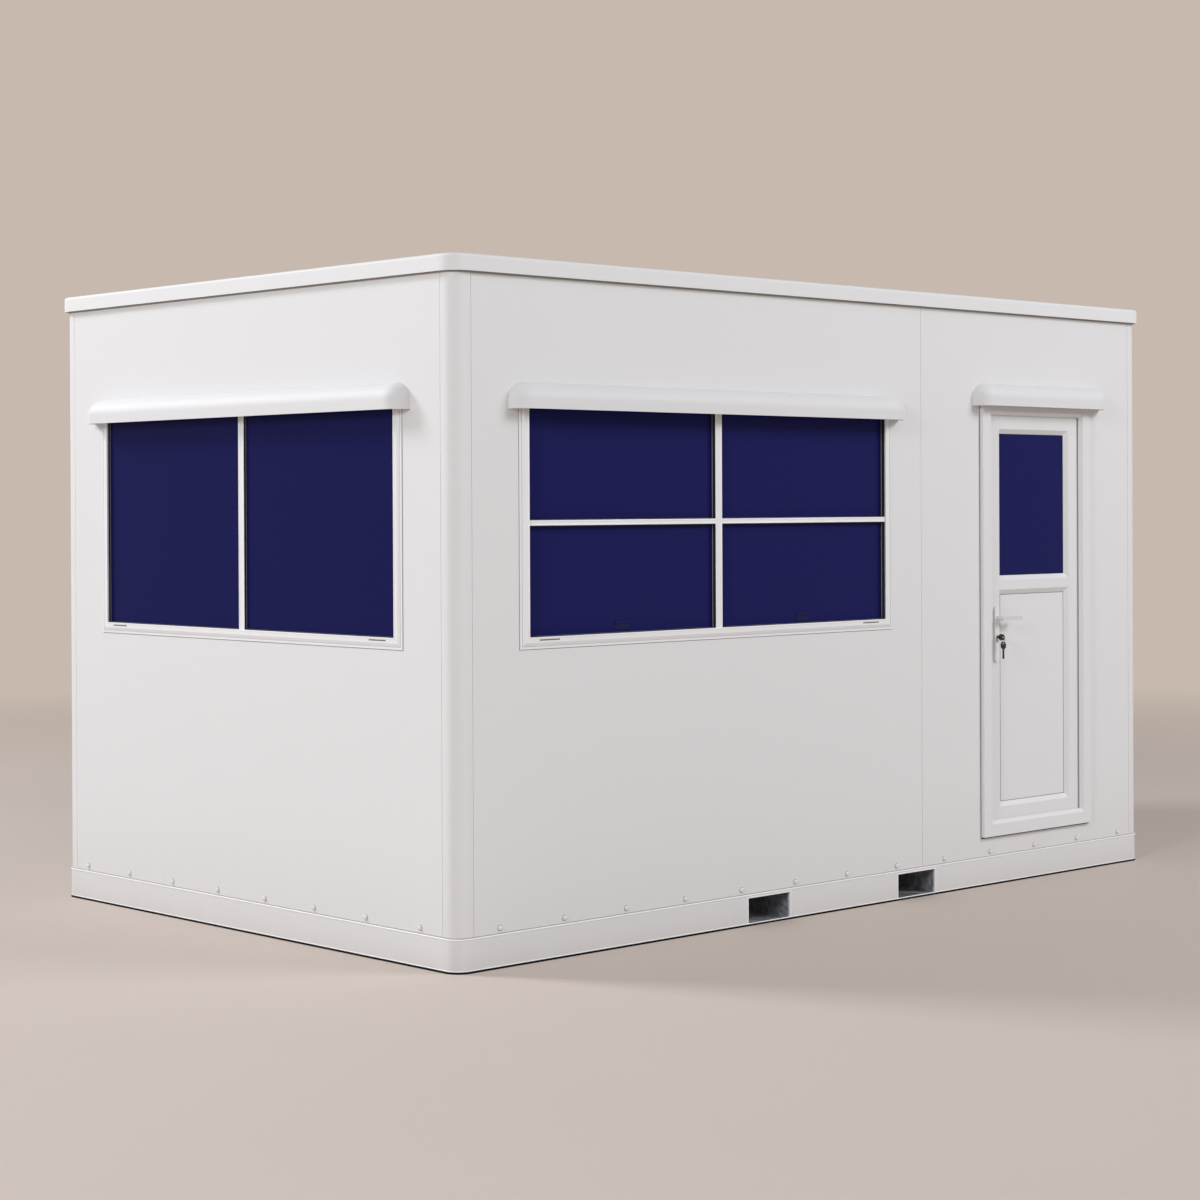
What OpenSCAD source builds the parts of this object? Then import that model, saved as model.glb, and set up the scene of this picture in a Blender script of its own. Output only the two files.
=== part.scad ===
// Guard cabin: a one-room booth of sandwich panels on a steel base with fork pockets.
// The origin is the centre of the footprint on the ground, +Z is up.
// The long front wall with the door faces -Y, and +X is to the right of someone facing it.

/* [Cabin] */
// Length over the walls
cabin_l = 4000; // [3750:10:4800]
// Depth over the walls
cabin_d = 2500; // [2300:10:3000]
// Height from the ground to the top of the roof
cabin_h = 2470; // [2300:10:2970]
// Thickness of the wall panels
wall_t = 60; // [50:1:80]
// Height of the base rails that carry the walls
skirt_h = 120; // [110:1:144]
// How far the base rails stand out past the walls
skirt_out = 4; // [2:0.5:8]
// Outer radius of the upright corners
corner_r = 55; // [40:1:58]
// Width of a corner post along each wall
post_leg = 75; // [70:1:90]
// Width of the sealed seam beside each post and panel
seam_w = 2; // [1:0.5:4]
// Depth from a panel's face to the seal in its seam
seam_depth = 2; // [1:0.5:4]

/* [Roof] */
// Height of the roof cap
roof_h = 60; // [50:1:80]
// How far the roof cap stands out past the walls
roof_over = 20; // [14:1:30]
// Thickness of the roof cap's moulded skin
roof_skin = 5; // [4:0.5:8]
// Radius along the roof cap's top edge
roof_edge_r = 12; // [6:1:20]

/* [Floor] */
// Thickness of the insulated floor panel
floor_t = 77; // [60:1:84]
// Thickness of the floor covering
covering_t = 3; // [2:0.5:5]
// Width of a cross member under the floor
joist_w = 60; // [40:1:80]
// Height of a cross member under the floor
joist_h = 100; // [80:1:108]

/* [Fork pockets] */
// Outer width of a fork pocket
pocket_w = 240; // [200:1:290]
// Outer height of a fork pocket
pocket_h = 104; // [90:1:104]
// Height of a pocket's underside above the ground
pocket_z = 4; // [3:0.5:6]
// Distance between the centres of the two pockets
pocket_pitch = 880; // [740:10:1060]
// Thickness of a pocket's steel wall
pocket_t = 5; // [4:0.5:6]
// How far a pocket's end lies behind the base rail's face
pocket_set = 8; // [4:1:12]

/* [Windows] */
// Height of the window frames' lower edge above the ground
win_z = 1100; // [950:10:1130]
// Height of a window frame
win_h = 900; // [750:10:920]
// Width of the long walls' window frames
long_win_w = 2000; // [1660:10:2060]
// Distance from the cabin's left corner to the long walls' window frames
long_win_inset = 292; // [240:1:330]
// Width of the short walls' window frames
end_win_w = 1930; // [1590:10:1930]
// Width of a frame's flange on the wall
flange_w = 11; // [10:1:14]
// How far the flange stands out from the wall
flange_t = 3; // [2:0.5:5]
// Width of a frame from its outer edge to the glass
frame_w = 42; // [38:1:46]
// How far a frame's face stands out from the wall
frame_out = 8; // [6:1:14]
// Width of the slope between a frame's face and its flange
frame_slope = 11; // [8:1:14]
// Width of the upright bars between the panes
bar_w = 34; // [30:1:48]
// Height of the long windows' cross bar
transom_h = 19; // [16:1:30]
// How far the bars' faces lie behind the frame's face
bar_set = 6; // [3:1:10]
// Height of the long windows' cross bar above the frame's lower edge
transom_z = 443; // [330:1:530]
// Depth from the wall's face to the glass of the long windows
glass_set = 18; // [14:1:22]
// Depth from the wall's face to the glass of the end windows
end_glass_set = 10; // [8:1:22]
// Thickness of the glazing units
glass_t = 20; // [16:1:24]
// How far the glass reaches into the frame
glass_bite = 9; // [6:1:11]

/* [Hoods] */
// How far a rain hood stands out from the wall
hood_out = 70; // [55:1:90]
// Height of a hood's upright lip
hood_lip = 35; // [20:1:42]
// Height of a hood's curved top
hood_crown = 60; // [50:1:72]
// Thickness of a hood's shell
hood_t = 4; // [3:0.5:6]
// How far a hood reaches past each side of its window
hood_past = 48; // [30:1:58]
// How far a hood's lip hangs below the top of its window frame
hood_drop = 58; // [40:1:66]
// How far the door's hood reaches past the latch side of the door frame
door_hood_left = 50; // [30:1:80]
// How far the door's hood reaches past the hinge side of the door frame
door_hood_right = 92; // [30:1:110]
// How far the door's hood hangs below the top of the door frame
door_hood_drop = 30; // [20:1:50]

/* [Door] */
// Width of the door frame
door_w = 750; // [640:5:900]
// Height of the door frame
door_h = 1840; // [1700:5:1880]
// Distance from the cabin's right corner to the door frame
door_inset = 382; // [300:1:400]
// Height of the door frame's underside above the ground
door_z = 204; // [201:1:240]
// Width of the door frame's face
jamb_w = 66; // [56:1:80]
// Width of the slope along the inner edge of the door frame's face
jamb_slope = 14; // [8:1:18]
// How far the door frame stands out from the wall
door_out = 18; // [10:1:26]
// Width of the sealed joint round the door frame
door_seam = 5; // [3:0.5:6]
// Thickness of the frame's lip in front of the leaf
lip_t = 17; // [12:1:22]
// Thickness left at the edge of that lip, behind the slope
lip_nose = 3; // [2:0.5:5]
// Clearance between the lip and the closed leaf
leaf_gap = 5; // [5:0.5:8]
// How far the lip covers the leaf's edge
leaf_lap = 8; // [6:1:12]
// Clearance between the leaf's edge and the frame
edge_gap = 12; // [10:1:16]
// Thickness of the door leaf
leaf_t = 60; // [50:1:72]
// How far the leaf's inner face stands in past the back of its frame
leaf_in = 4; // [2:0.5:5]
// Width of the leaf's uprights, from its edge to the glass
stile_w = 94; // [84:1:110]
// Width of the leaf's top rail
top_rail_w = 86; // [76:1:100]
// Width of the leaf's middle rail
mid_rail_w = 80; // [66:1:100]
// Width of the leaf's bottom rail
bottom_rail_w = 80; // [70:1:120]
// Height of the leaf's glass
leaf_glass_h = 600; // [500:5:720]
// Width of the sloped glazing beads
bead_w = 20; // [14:1:24]
// Depth from the leaf's face to its glass and panel
bead_d = 14; // [8:1:16]
// How far the glass and panel reach under the beads
infill_bite = 12; // [8:1:15]
// Thickness of the leaf's glass and panel
infill_t = 24; // [20:1:28]

/* [Lock and lever] */
// Distance from the leaf's latch edge to the lever's spindle
backset = 50; // [46:1:60]
// Height of the lever above the ground
lever_z = 1120; // [1000:5:1170]
// Distance from the lever's spindle down to the lock cylinder
lock_drop = 79; // [70:1:92]
// Width of the lever's backplates
plate_w = 32; // [28:1:38]
// Height of the backplates
plate_h = 236; // [210:1:260]
// Thickness of the backplates
plate_t = 8; // [6:1:10]
// Radius of the lever's neck
neck_r = 9; // [7:0.5:11]
// Clearance round the neck in its backplate
neck_gap = 0.5; // [0.3:0.1:1]
// Radius of the spindle through the leaf
spindle_r = 5; // [4:0.5:6]
// Distance from the leaf's face to the middle of the lever's arm
lever_out = 40; // [38:1:56]
// Length of the lever's arm from its spindle
lever_l = 124; // [105:1:140]
// Depth of the lever's arm, across the leaf
arm_d = 13; // [10:1:16]
// Height of the lever's arm
arm_h = 17; // [12:1:20]
// Radius of the lock cylinder's round part
lock_r = 8.5; // [7:0.5:10]
// How far the lock cylinder stands out from its backplate
lock_out = 3; // [2:0.5:5]
// Clearance round the lock cylinder
lock_gap = 0.3; // [0.2:0.1:0.5]

/* [Hinges] */
// Radius of a hinge barrel
barrel_r = 8; // [7:0.5:10]
// Length of a hinge
hinge_l = 100; // [84:2:120]
// Radius of a hinge pin
pin_r = 4; // [3:0.5:5]
// Running clearance round a hinge pin
pin_gap = 0.06; // [0.04:0.01:0.1]
// Gap between a hinge's knuckles
knuckle_gap = 1; // [0.5:0.5:2]
// Clearance between the hinge barrel and the leaf's face
barrel_gap = 1; // [1:0.5:3]
// Width of a hinge leaf, from the barrel's axis
hinge_w = 38; // [30:1:44]
// Thickness of a hinge leaf
hinge_t = 3; // [2:0.5:4]
// Distance from the top and bottom of the door leaf to the hinges' middles
hinge_end = 190; // [150:5:260]

/* [Hidden] */
$fn = 96;

white = [0.93, 0.93, 0.93];
pvc = [0.96, 0.96, 0.97];
navy = [0.10, 0.10, 0.32];
galvanised = [0.50, 0.51, 0.52];
seal_grey = [0.55, 0.55, 0.56];
steel = [0.72, 0.72, 0.74];
vinyl = [0.62, 0.61, 0.58];

over = 1;                               // how far a cut runs past the surface it starts on
half_l = cabin_l / 2;
half_d = cabin_d / 2;
wall_top = cabin_h - roof_h;
room_l = cabin_l - 2 * wall_t;
room_d = cabin_d - 2 * wall_t;
rail_t = wall_t + skirt_out;            // thickness of the base rails
rail_mid = (skirt_out - wall_t) / 2;    // middle of a base rail, out from the walls' outline
panel_end = post_leg + seam_w;          // from a corner to the end of the panel beside its post
joint_past = 190;                       // from the long windows to the panel joint
joint_x = -half_l + long_win_inset + long_win_w + joint_past;
joist_places = [-0.38, -0.25, 0, 0.25, 0.38];   // shares of the cabin's length, clear of the pockets

// sides of the cabin, as quarter turns from the front
FRONT = 0;
RIGHT = 1;
BACK = 2;
LEFT = 3;
long_win_x = -half_l + long_win_inset + long_win_w / 2;
win_top = win_z + win_h;
hood_h = hood_lip + hood_crown;

// the door, in the front wall's own frame: y is the depth from the wall's face
door_x = half_l - door_inset - door_w / 2;
door_top = door_z + door_h;
sight_w = door_w - 2 * jamb_w;          // clear width between the frame's lips
sight_low = door_z + jamb_w;
sight_top = door_top - jamb_w;
hole_w = sight_w + 2 * (leaf_lap + edge_gap);
lip_back = -door_out + lip_t;
leaf_y = lip_back + leaf_gap;
leaf_back = leaf_y + leaf_t;
jamb_back = leaf_back - leaf_in;
leaf_w = sight_w + 2 * leaf_lap;
leaf_low = sight_low - leaf_lap;
leaf_top = sight_top + leaf_lap;
glass_low = leaf_top - top_rail_w - leaf_glass_h;
panel_top = glass_low - mid_rail_w;
panel_low = leaf_low + bottom_rail_w;
leaf_sight_w = leaf_w - 2 * stile_w;    // width of glass between the beads
glass_z = [glass_low, leaf_top - top_rail_w];
panel_z = [panel_low, panel_top];
infill_y = leaf_y + bead_d;
spindle_x = door_x - leaf_w / 2 + backset;
lock_z = lever_z - lock_drop;
plate_mid_z = lever_z - plate_h / 2 + 52;
hinge_x = door_x + leaf_w / 2 + edge_gap / 2;
hinge_y = leaf_back + barrel_gap + barrel_r;
knuckle_l = (hinge_l - 2 * knuckle_gap) / 3;
hinge_places = [leaf_low + hinge_end, (leaf_low + leaf_top) / 2, leaf_top - hinge_end];

// ---------------------------------------------------------------- shared shapes

// A box given by its ranges along X, Y and Z
module block(x, y, z) {
  translate([x[0], y[0], z[0]]) cube([x[1] - x[0], y[1] - y[0], z[1] - z[0]]);
}

// A plate in the wall's plane: centred on X, with its depth range y and height range z
module sheet(w, y, z) {
  block([-w / 2, w / 2], y, z);
}

// Puts a shape drawn on the front wall's frame at place `at` on another side of the cabin
module on_side(side, at) {
  reach = side % 2 == 0 ? half_d : half_l;
  rotate([0, 0, 90 * side]) translate([at, -reach, 0]) children();
}

// The cabin's outline on the ground, grown by `grow`
module outline(grow) {
  r = corner_r + grow;
  union() {
    square([cabin_l + 2 * grow, cabin_d + 2 * grow - 2 * r], center = true);
    square([cabin_l + 2 * grow - 2 * r, cabin_d + 2 * grow], center = true);
    for (sx = [-1, 1], sy = [-1, 1])
      translate([sx * (half_l + grow - r), sy * (half_d + grow - r)]) circle(r);
  }
}

// A rounded bar of a plate: length l along X, width w, with round ends
module slot_shape(l, w) {
  union() {
    square([l - w, w], center = true);
    for (s = [-1, 1]) translate([s * (l - w) / 2, 0]) circle(w / 2);
  }
}

// ---------------------------------------------------------------- base

module pocket_holes() {
  pocket_cut = half_d + skirt_out + over;
  for (s = [-1, 1])
    translate([s * pocket_pitch / 2, 0, 0])
      sheet(pocket_w, [-pocket_cut, pocket_cut], [pocket_z, pocket_z + pocket_h]);
}

// One long base rail, on the side of the sign sy
module long_skirt(sy) {
  color(white) difference() {
    linear_extrude(skirt_h) intersection() {
      outline(skirt_out);
      translate([0, sy * (half_d + rail_mid)]) square([cabin_l + 2 * skirt_out, rail_t], center = true);
    }
    pocket_holes();
  }
}

module skirt_ends() {
  color(white) for (sx = [-1, 1])
    translate([sx * (half_l + rail_mid), 0, 0]) sheet(rail_t, [-room_d / 2, room_d / 2], [0, skirt_h]);
}

module fork_pocket(sx) {
  reach = half_d + skirt_out - pocket_set;
  color(galvanised) translate([sx * pocket_pitch / 2, 0, pocket_z]) difference() {
    sheet(pocket_w, [-reach, reach], [0, pocket_h]);
    sheet(pocket_w - 2 * pocket_t, [-reach - over, reach + over], [pocket_t, pocket_h - pocket_t]);
  }
}

module cross_members() {
  color(galvanised) for (p = joist_places)
    translate([p * cabin_l, 0, 0])
      sheet(joist_w, [-room_d / 2, room_d / 2], [skirt_h - joist_h, skirt_h]);
}

module floor_panel() {
  color(seal_grey) sheet(room_l, [-room_d / 2, room_d / 2], [skirt_h, skirt_h + floor_t]);
}

module floor_covering() {
  low = skirt_h + floor_t;
  color(vinyl) sheet(room_l, [-room_d / 2, room_d / 2], [low, low + covering_t]);
}

// ---------------------------------------------------------------- walls

module corner_post(sx, sy) {
  color(white) translate([0, 0, skirt_h]) linear_extrude(wall_top - skirt_h) difference() {
    intersection() {
      outline(0);
      translate([sx * (half_l - post_leg / 2), sy * (half_d - post_leg / 2)])
        square(post_leg, center = true);
    }
    square([room_l, room_d], center = true);
  }
}

// The hole that a window frame's body fills, in the wall's own frame
module window_hole(w) {
  body = w - 2 * flange_w;
  sheet(body, [-over, wall_t + over], [win_z + flange_w, win_top - flange_w]);
}

// A front wall panel from x0 to x1, over the height range z
module front_panel(x0, x1, z) {
  translate([0, -half_d, 0]) block([x0, x1], [0, wall_t], z);
}

module long_window_panel() {
  difference() {
    front_panel(-half_l + panel_end, joint_x - seam_w / 2, [skirt_h, wall_top]);
    on_side(FRONT, long_win_x) window_hole(long_win_w);
  }
}

module front_wall_window_panel() {
  color(white) long_window_panel();
}

module back_wall_window_panel() {
  color(white) mirror([0, 1, 0]) long_window_panel();
}

module back_wall_plain_panel() {
  color(white) mirror([0, 1, 0])
    front_panel(joint_x + seam_w / 2, half_l - panel_end, [skirt_h, wall_top]);
}

module front_wall_latch_side() {
  color(white)
    front_panel(joint_x + seam_w / 2, door_x - door_w / 2 - door_seam, [skirt_h, wall_top]);
}

module front_wall_hinge_side() {
  color(white)
    front_panel(door_x + door_w / 2 + door_seam, half_l - panel_end, [skirt_h, wall_top]);
}

module door_panel_part(z) {
  front_panel(door_x - door_w / 2 - door_seam, door_x + door_w / 2 + door_seam, z);
}

module front_wall_over_door() {
  color(white) door_panel_part([door_top + door_seam, wall_top]);
}

module front_wall_under_door() {
  color(white) door_panel_part([skirt_h, door_z]);
}

module end_wall(side) {
  color(white) difference() {
    on_side(side, 0) sheet(cabin_d - 2 * panel_end, [0, wall_t], [skirt_h, wall_top]);
    on_side(side, 0) window_hole(end_win_w);
  }
}

// Seals: in the seams beside the posts, in the two panel joints and round the door frame
module panel_seals() {
  post_seam = post_leg + seam_w / 2;
  depth = [seam_depth, wall_t - seam_depth];
  color(seal_grey) {
    for (side = [FRONT, BACK], s = [-1, 1])
      on_side(side, s * (half_l - post_seam)) sheet(seam_w, depth, [skirt_h, wall_top]);
    for (side = [LEFT, RIGHT], s = [-1, 1])
      on_side(side, s * (half_d - post_seam)) sheet(seam_w, depth, [skirt_h, wall_top]);
    on_side(FRONT, joint_x) sheet(seam_w, depth, [skirt_h, wall_top]);
    on_side(BACK, -joint_x) sheet(seam_w, depth, [skirt_h, wall_top]);
    on_side(FRONT, door_x) difference() {
      sheet(door_w + 2 * door_seam, depth, [door_z, door_top + door_seam]);
      sheet(door_w, [-over, wall_t + over], [door_z - over, door_top]);
    }
  }
}

// ---------------------------------------------------------------- windows

// Depths of the glass's front and back: the long windows have two rows, the end windows one
function glass_depth(rows) =
  let (front = rows == 2 ? glass_set : end_glass_set) [front, front + glass_t];

// The sight openings of a window of width w, each grown by `grow`: columns side by side, and a
// second row above the cross bar where rows is 2
module pane_openings(w, rows, y, grow) {
  low = win_z + frame_w;
  high = win_top - frame_w;
  pane_w = (w - 2 * frame_w - bar_w) / 2;
  bar_z = win_z + transom_z;
  heights = rows == 2 ? [[low, bar_z - transom_h / 2], [bar_z + transom_h / 2, high]] : [[low, high]];
  for (s = [-1, 1], z = heights)
    translate([s * (pane_w + bar_w) / 2, 0, 0])
      sheet(pane_w + 2 * grow, y, [z[0] - grow, z[1] + grow]);
}

// A plate that narrows towards the front: at depth y0 it is as wide and high as the ranges w and z
// say, and at depth y1 it is smaller by `slope` all round
module tapered_sheet(w, z, y0, y1, slope) {
  mid_z = (z[0] + z[1]) / 2;
  half_h = (z[1] - z[0]) / 2;
  intersection() {
    translate([0, 0, z[0]]) linear_extrude(z[1] - z[0])
      polygon([[-w / 2, y0], [w / 2, y0], [w / 2 - slope, y1], [slope - w / 2, y1]]);
    translate([-w / 2, 0, mid_z]) rotate([90, 0, 90]) linear_extrude(w)
      polygon([[y0, -half_h], [y0, half_h], [y1, half_h - slope], [y1, slope - half_h]]);
  }
}

module window_frame(side, at, w, rows) {
  through = [-frame_out - over, wall_t + over];
  body_w = w - 2 * flange_w;
  body_z = [win_z + flange_w, win_top - flange_w];
  color(pvc) on_side(side, at) difference() {
    union() {
      sheet(w, [-flange_t, 0], [win_z, win_top]);
      sheet(body_w, [-flange_t, wall_t], body_z);
      tapered_sheet(body_w, body_z, -flange_t, -frame_out, frame_slope);
    }
    pane_openings(w, rows, through, 0);
    pane_openings(w, rows, glass_depth(rows), glass_bite);
    sheet(w - 2 * frame_w, [-frame_out - over, bar_set - frame_out], [win_z + frame_w, win_top - frame_w]);
  }
}

module window_glass(side, at, w, rows) {
  color(navy) on_side(side, at)
    pane_openings(w, rows, glass_depth(rows), glass_bite);
}

// ---------------------------------------------------------------- hoods

// Section of a hood, out from the wall and up: an upright lip under a quarter ellipse
module hood_section(out, lip, crown) {
  steps = 12;
  polygon(concat(
    [[0, 0], [out, 0]],
    [for (i = [0:steps]) let (a = 90 * i / steps) [out * cos(a), lip + crown * sin(a)]]
  ));
}

// A solid hood of length l, its ends turned round by a quarter circle
module hood_body(l, out, lip, crown) {
  run = l / 2 - out;
  translate([-run, 0, 0]) rotate([90, 0, 90]) linear_extrude(2 * run) mirror([1, 0, 0])
    hood_section(out, lip, crown);
  translate([run, 0, 0]) rotate([0, 0, 270]) rotate_extrude(angle = 90) hood_section(out, lip, crown);
  translate([-run, 0, 0]) rotate([0, 0, 180]) rotate_extrude(angle = 90) hood_section(out, lip, crown);
}

// A hood of length l, open to the wall and underneath, with its lip at height z
module hood(side, at, l, z) {
  color(white) on_side(side, at) translate([0, 0, z]) difference() {
    hood_body(l, hood_out, hood_lip, hood_crown);
    translate([0, 0, -over])
      hood_body(l - 2 * hood_t, hood_out - hood_t, hood_lip + over, hood_crown - hood_t);
    sheet(l - 2 * hood_out, [-over, over], [-over, hood_h - hood_t]);
  }
}

module window_hood(side, at, w) {
  hood(side, at, w + 2 * hood_past, win_top - hood_drop);
}

module hood_door() {
  shift = (door_hood_right - door_hood_left) / 2;
  hood(FRONT, door_x + shift, door_w + door_hood_left + door_hood_right, door_top - door_hood_drop);
}

// ---------------------------------------------------------------- roof

module roof_panel() {
  color(white) translate([0, 0, wall_top]) linear_extrude(roof_h - roof_skin) outline(0);
}

// Section of the roof cap's rim, from the corner's axis outwards: a skin with a rounded top edge
module rim_section(r) {
  union() {
    translate([r - roof_skin, 0]) square([roof_skin, roof_h - roof_edge_r]);
    translate([0, roof_h - roof_skin]) square([r - roof_edge_r, roof_skin]);
    translate([r - roof_edge_r, roof_h - roof_edge_r]) intersection() {
      difference() {
        circle(roof_edge_r);
        circle(roof_edge_r - roof_skin);
      }
      square(roof_edge_r);
    }
  }
}

module roof_cap() {
  r = corner_r + roof_over;
  mid_l = cabin_l + 2 * roof_over - 2 * r;
  mid_d = cabin_d + 2 * roof_over - 2 * r;
  color(white) translate([0, 0, wall_top]) union() {
    sheet(mid_l, [-mid_d / 2, mid_d / 2], [roof_h - roof_skin, roof_h]);
    for (s = [0, 1]) rotate([0, 0, 180 * s]) {
      translate([-mid_l / 2, -mid_d / 2, 0]) rotate([90, 0, 90]) linear_extrude(mid_l)
        mirror([1, 0, 0]) rim_section(r);
      translate([mid_l / 2, -mid_d / 2, 0]) rotate([90, 0, 180]) linear_extrude(mid_d)
        mirror([1, 0, 0]) rim_section(r);
      translate([-mid_l / 2, -mid_d / 2, 0]) rotate([0, 0, 180]) rotate_extrude(angle = 90) rim_section(r);
      translate([mid_l / 2, -mid_d / 2, 0]) rotate([0, 0, 270]) rotate_extrude(angle = 90) rim_section(r);
    }
  }
}

// ---------------------------------------------------------------- door

module door_frame() {
  hole_low = sight_low - leaf_lap - edge_gap;
  hole_top = sight_top + leaf_lap + edge_gap;
  nose = lip_back - lip_nose;
  slope = jamb_slope * (1 + over / (nose + door_out));
  color(pvc) on_side(FRONT, door_x) difference() {
    sheet(door_w, [-door_out, jamb_back], [door_z, door_top]);
    sheet(sight_w, [-door_out - over, jamb_back + over], [sight_low, sight_top]);
    tapered_sheet(sight_w + 2 * slope, [sight_low - slope, sight_top + slope],
      -door_out - over, nose, slope);
    sheet(hole_w, [lip_back, jamb_back + over], [hole_low, hole_top]);
  }
}

module lock_shape(grow) {
  r = lock_r + grow;
  union() {
    circle(r);
    translate([-r / 2 - grow, -2.4 * r]) square([r + 2 * grow, 2 * r]);
  }
}

module spindle_bore(r) {
  translate([spindle_x, -half_d - door_out, lever_z]) rotate([-90, 0, 0])
    cylinder(r = r, h = door_out + leaf_back + 4 * plate_t);
}

module lock_bore() {
  translate([spindle_x, -half_d + leaf_back + 4 * plate_t, lock_z]) rotate([90, 0, 0])
    linear_extrude(leaf_back + 8 * plate_t) lock_shape(lock_gap);
}

// The glass or panel of the leaf over the height range z
module leaf_infill(z) {
  bite = infill_bite;
  sheet(leaf_sight_w + 2 * bite, [infill_y, infill_y + infill_t], [z[0] - bite, z[1] + bite]);
}

// The sloped mouth of an opening over z, from the leaf's face at depth face to the depth deep
module leaf_mouth(z, face, deep) {
  way = sign(face - deep) * over;                   // the cut starts this far outside the face
  slope = bead_w * (1 + over / abs(face - deep));
  tapered_sheet(leaf_sight_w + 2 * slope, [z[0] - slope, z[1] + slope], face + way, deep, slope);
}

// One opening of the leaf, sloped at both faces, with the groove for its glass or panel
module leaf_opening(z) {
  sheet(leaf_sight_w, [leaf_y - over, leaf_back + over], z);
  leaf_mouth(z, leaf_y, infill_y);
  leaf_mouth(z, leaf_back, infill_y + infill_t);
  leaf_infill(z);
}

module door_leaf() {
  color(pvc) difference() {
    on_side(FRONT, door_x) difference() {
      sheet(leaf_w, [leaf_y, leaf_back], [leaf_low, leaf_top]);
      leaf_opening(glass_z);
      leaf_opening(panel_z);
    }
    spindle_bore(spindle_r + 1);
    lock_bore();
  }
}

module door_glass() {
  color(navy) on_side(FRONT, door_x) leaf_infill(glass_z);
}

module door_lower_panel() {
  color(pvc) on_side(FRONT, door_x) leaf_infill(panel_z);
}

// ---------------------------------------------------------------- lock and lever

module handle_plates() {
  color(white) for (y = [leaf_y, leaf_back + plate_t]) difference() {
    translate([spindle_x, -half_d + y, plate_mid_z]) rotate([90, 0, 0]) linear_extrude(plate_t)
      rotate(90) slot_shape(plate_h, plate_w);
    spindle_bore(neck_r + neck_gap);
    lock_bore();
  }
}

module lock_cylinder() {
  reach = plate_t + lock_out;
  color(steel) translate([spindle_x, -half_d + leaf_back + reach, lock_z]) rotate([90, 0, 0])
    linear_extrude(leaf_t + 2 * reach) lock_shape(0);
}

// A round bar along Y from depth y0 to y1 at the lever's spindle
module spindle_bar(r, y0, y1) {
  translate([spindle_x, -half_d + y0, lever_z]) rotate([-90, 0, 0]) cylinder(r = r, h = y1 - y0);
}

// One arm of the lever, its middle at depth y
module lever_arm(y) {
  run = lever_l - arm_h / 2;
  translate([spindle_x, -half_d + y + arm_d / 2, lever_z]) rotate([90, 0, 0]) linear_extrude(arm_d)
    translate([run / 2, 0]) slot_shape(run + arm_h, arm_h);
}

module lever_handle() {
  outer = leaf_y - lever_out;
  inner = leaf_back + lever_out;
  color(white) union() {
    spindle_bar(spindle_r, leaf_y - plate_t, leaf_back + plate_t);
    spindle_bar(neck_r, outer, leaf_y - plate_t / 2);
    spindle_bar(neck_r, leaf_back + plate_t / 2, inner);
    lever_arm(outer);
    lever_arm(inner);
  }
}

// ---------------------------------------------------------------- keys

head_l = 32;                                        // length of a key's head
head_w = 26;                                        // width of a key's head
head_t = 3;
head_hole_r = 3.5;
head_rim = 3.5;                                     // what is left outside the hole
head_hole = head_l / 2 - head_rim - head_hole_r;    // from the head's middle to its hole
blade_w = 8;
blade_l = 40;
blade_out = 3;                                      // length of blade that shows at the lock
ring_r = 10;
ring_wire = 1.1;
ring_bite = 0.4;                                    // how deep the ring sits in each key's hole
head_y = leaf_y - plate_t - lock_out - blade_out - head_l / 2;    // middle of the head at the lock
ring_y = head_y - head_hole;
ring_z = lock_z - head_hole_r + ring_wire - ring_bite - ring_r;
hung_z = ring_z - ring_r + ring_wire - ring_bite - head_hole_r - head_hole;   // hanging head's middle

// A key's head as a rounded plate across X, its hole towards +Z
module key_head() {
  rotate([0, 90, 0]) difference() {
    translate([0, 0, -head_t / 2]) linear_extrude(head_t) slot_shape(head_l, head_w);
    translate([-head_hole, 0, 0]) cylinder(r = head_hole_r, h = head_t + 2 * over, center = true);
  }
}

module keys() {
  color(steel) translate([spindle_x, -half_d, 0]) union() {
    translate([0, head_y, lock_z]) rotate([90, 0, 0]) key_head();
    block([-head_t / 2, head_t / 2], [head_y + head_l / 2 - 1, leaf_y - plate_t - lock_out],
      [lock_z - blade_w / 2, lock_z + blade_w / 2]);
    translate([0, ring_y, ring_z]) rotate([90, 0, 0]) rotate_extrude() translate([ring_r, 0])
      circle(ring_wire);
    translate([0, ring_y, hung_z]) key_head();
    block([-head_t / 2, head_t / 2], [ring_y - blade_w / 2, ring_y + blade_w / 2],
      [hung_z - head_l / 2 - blade_l, hung_z - head_l / 2 + 1]);
  }
}

// ---------------------------------------------------------------- hinges

// One knuckle on the pin's axis, from height z0 to z1 above the hinge's middle
module knuckle(z0, z1) {
  translate([0, 0, z0]) cylinder(r = barrel_r, h = z1 - z0);
}

module hinge_frame_side() {
  face = jamb_back - hinge_y;                     // the frame's inner face, from the pin's axis
  color(pvc) for (z = hinge_places) translate([hinge_x, hinge_y - half_d, z]) union() {
    for (s = [-1, 1]) {
      low = s * (knuckle_l + knuckle_gap) - knuckle_l / 2;
      knuckle(low, low + knuckle_l);
      block([0, hinge_w], [face, -barrel_r + 2 * hinge_t], [low, low + knuckle_l]);
    }
    block([barrel_r + 1, hinge_w], [face, -barrel_r + hinge_t], [-hinge_l / 2, hinge_l / 2]);
    translate([0, 0, -hinge_l / 2]) cylinder(r = pin_r, h = hinge_l);
  }
}

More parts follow.
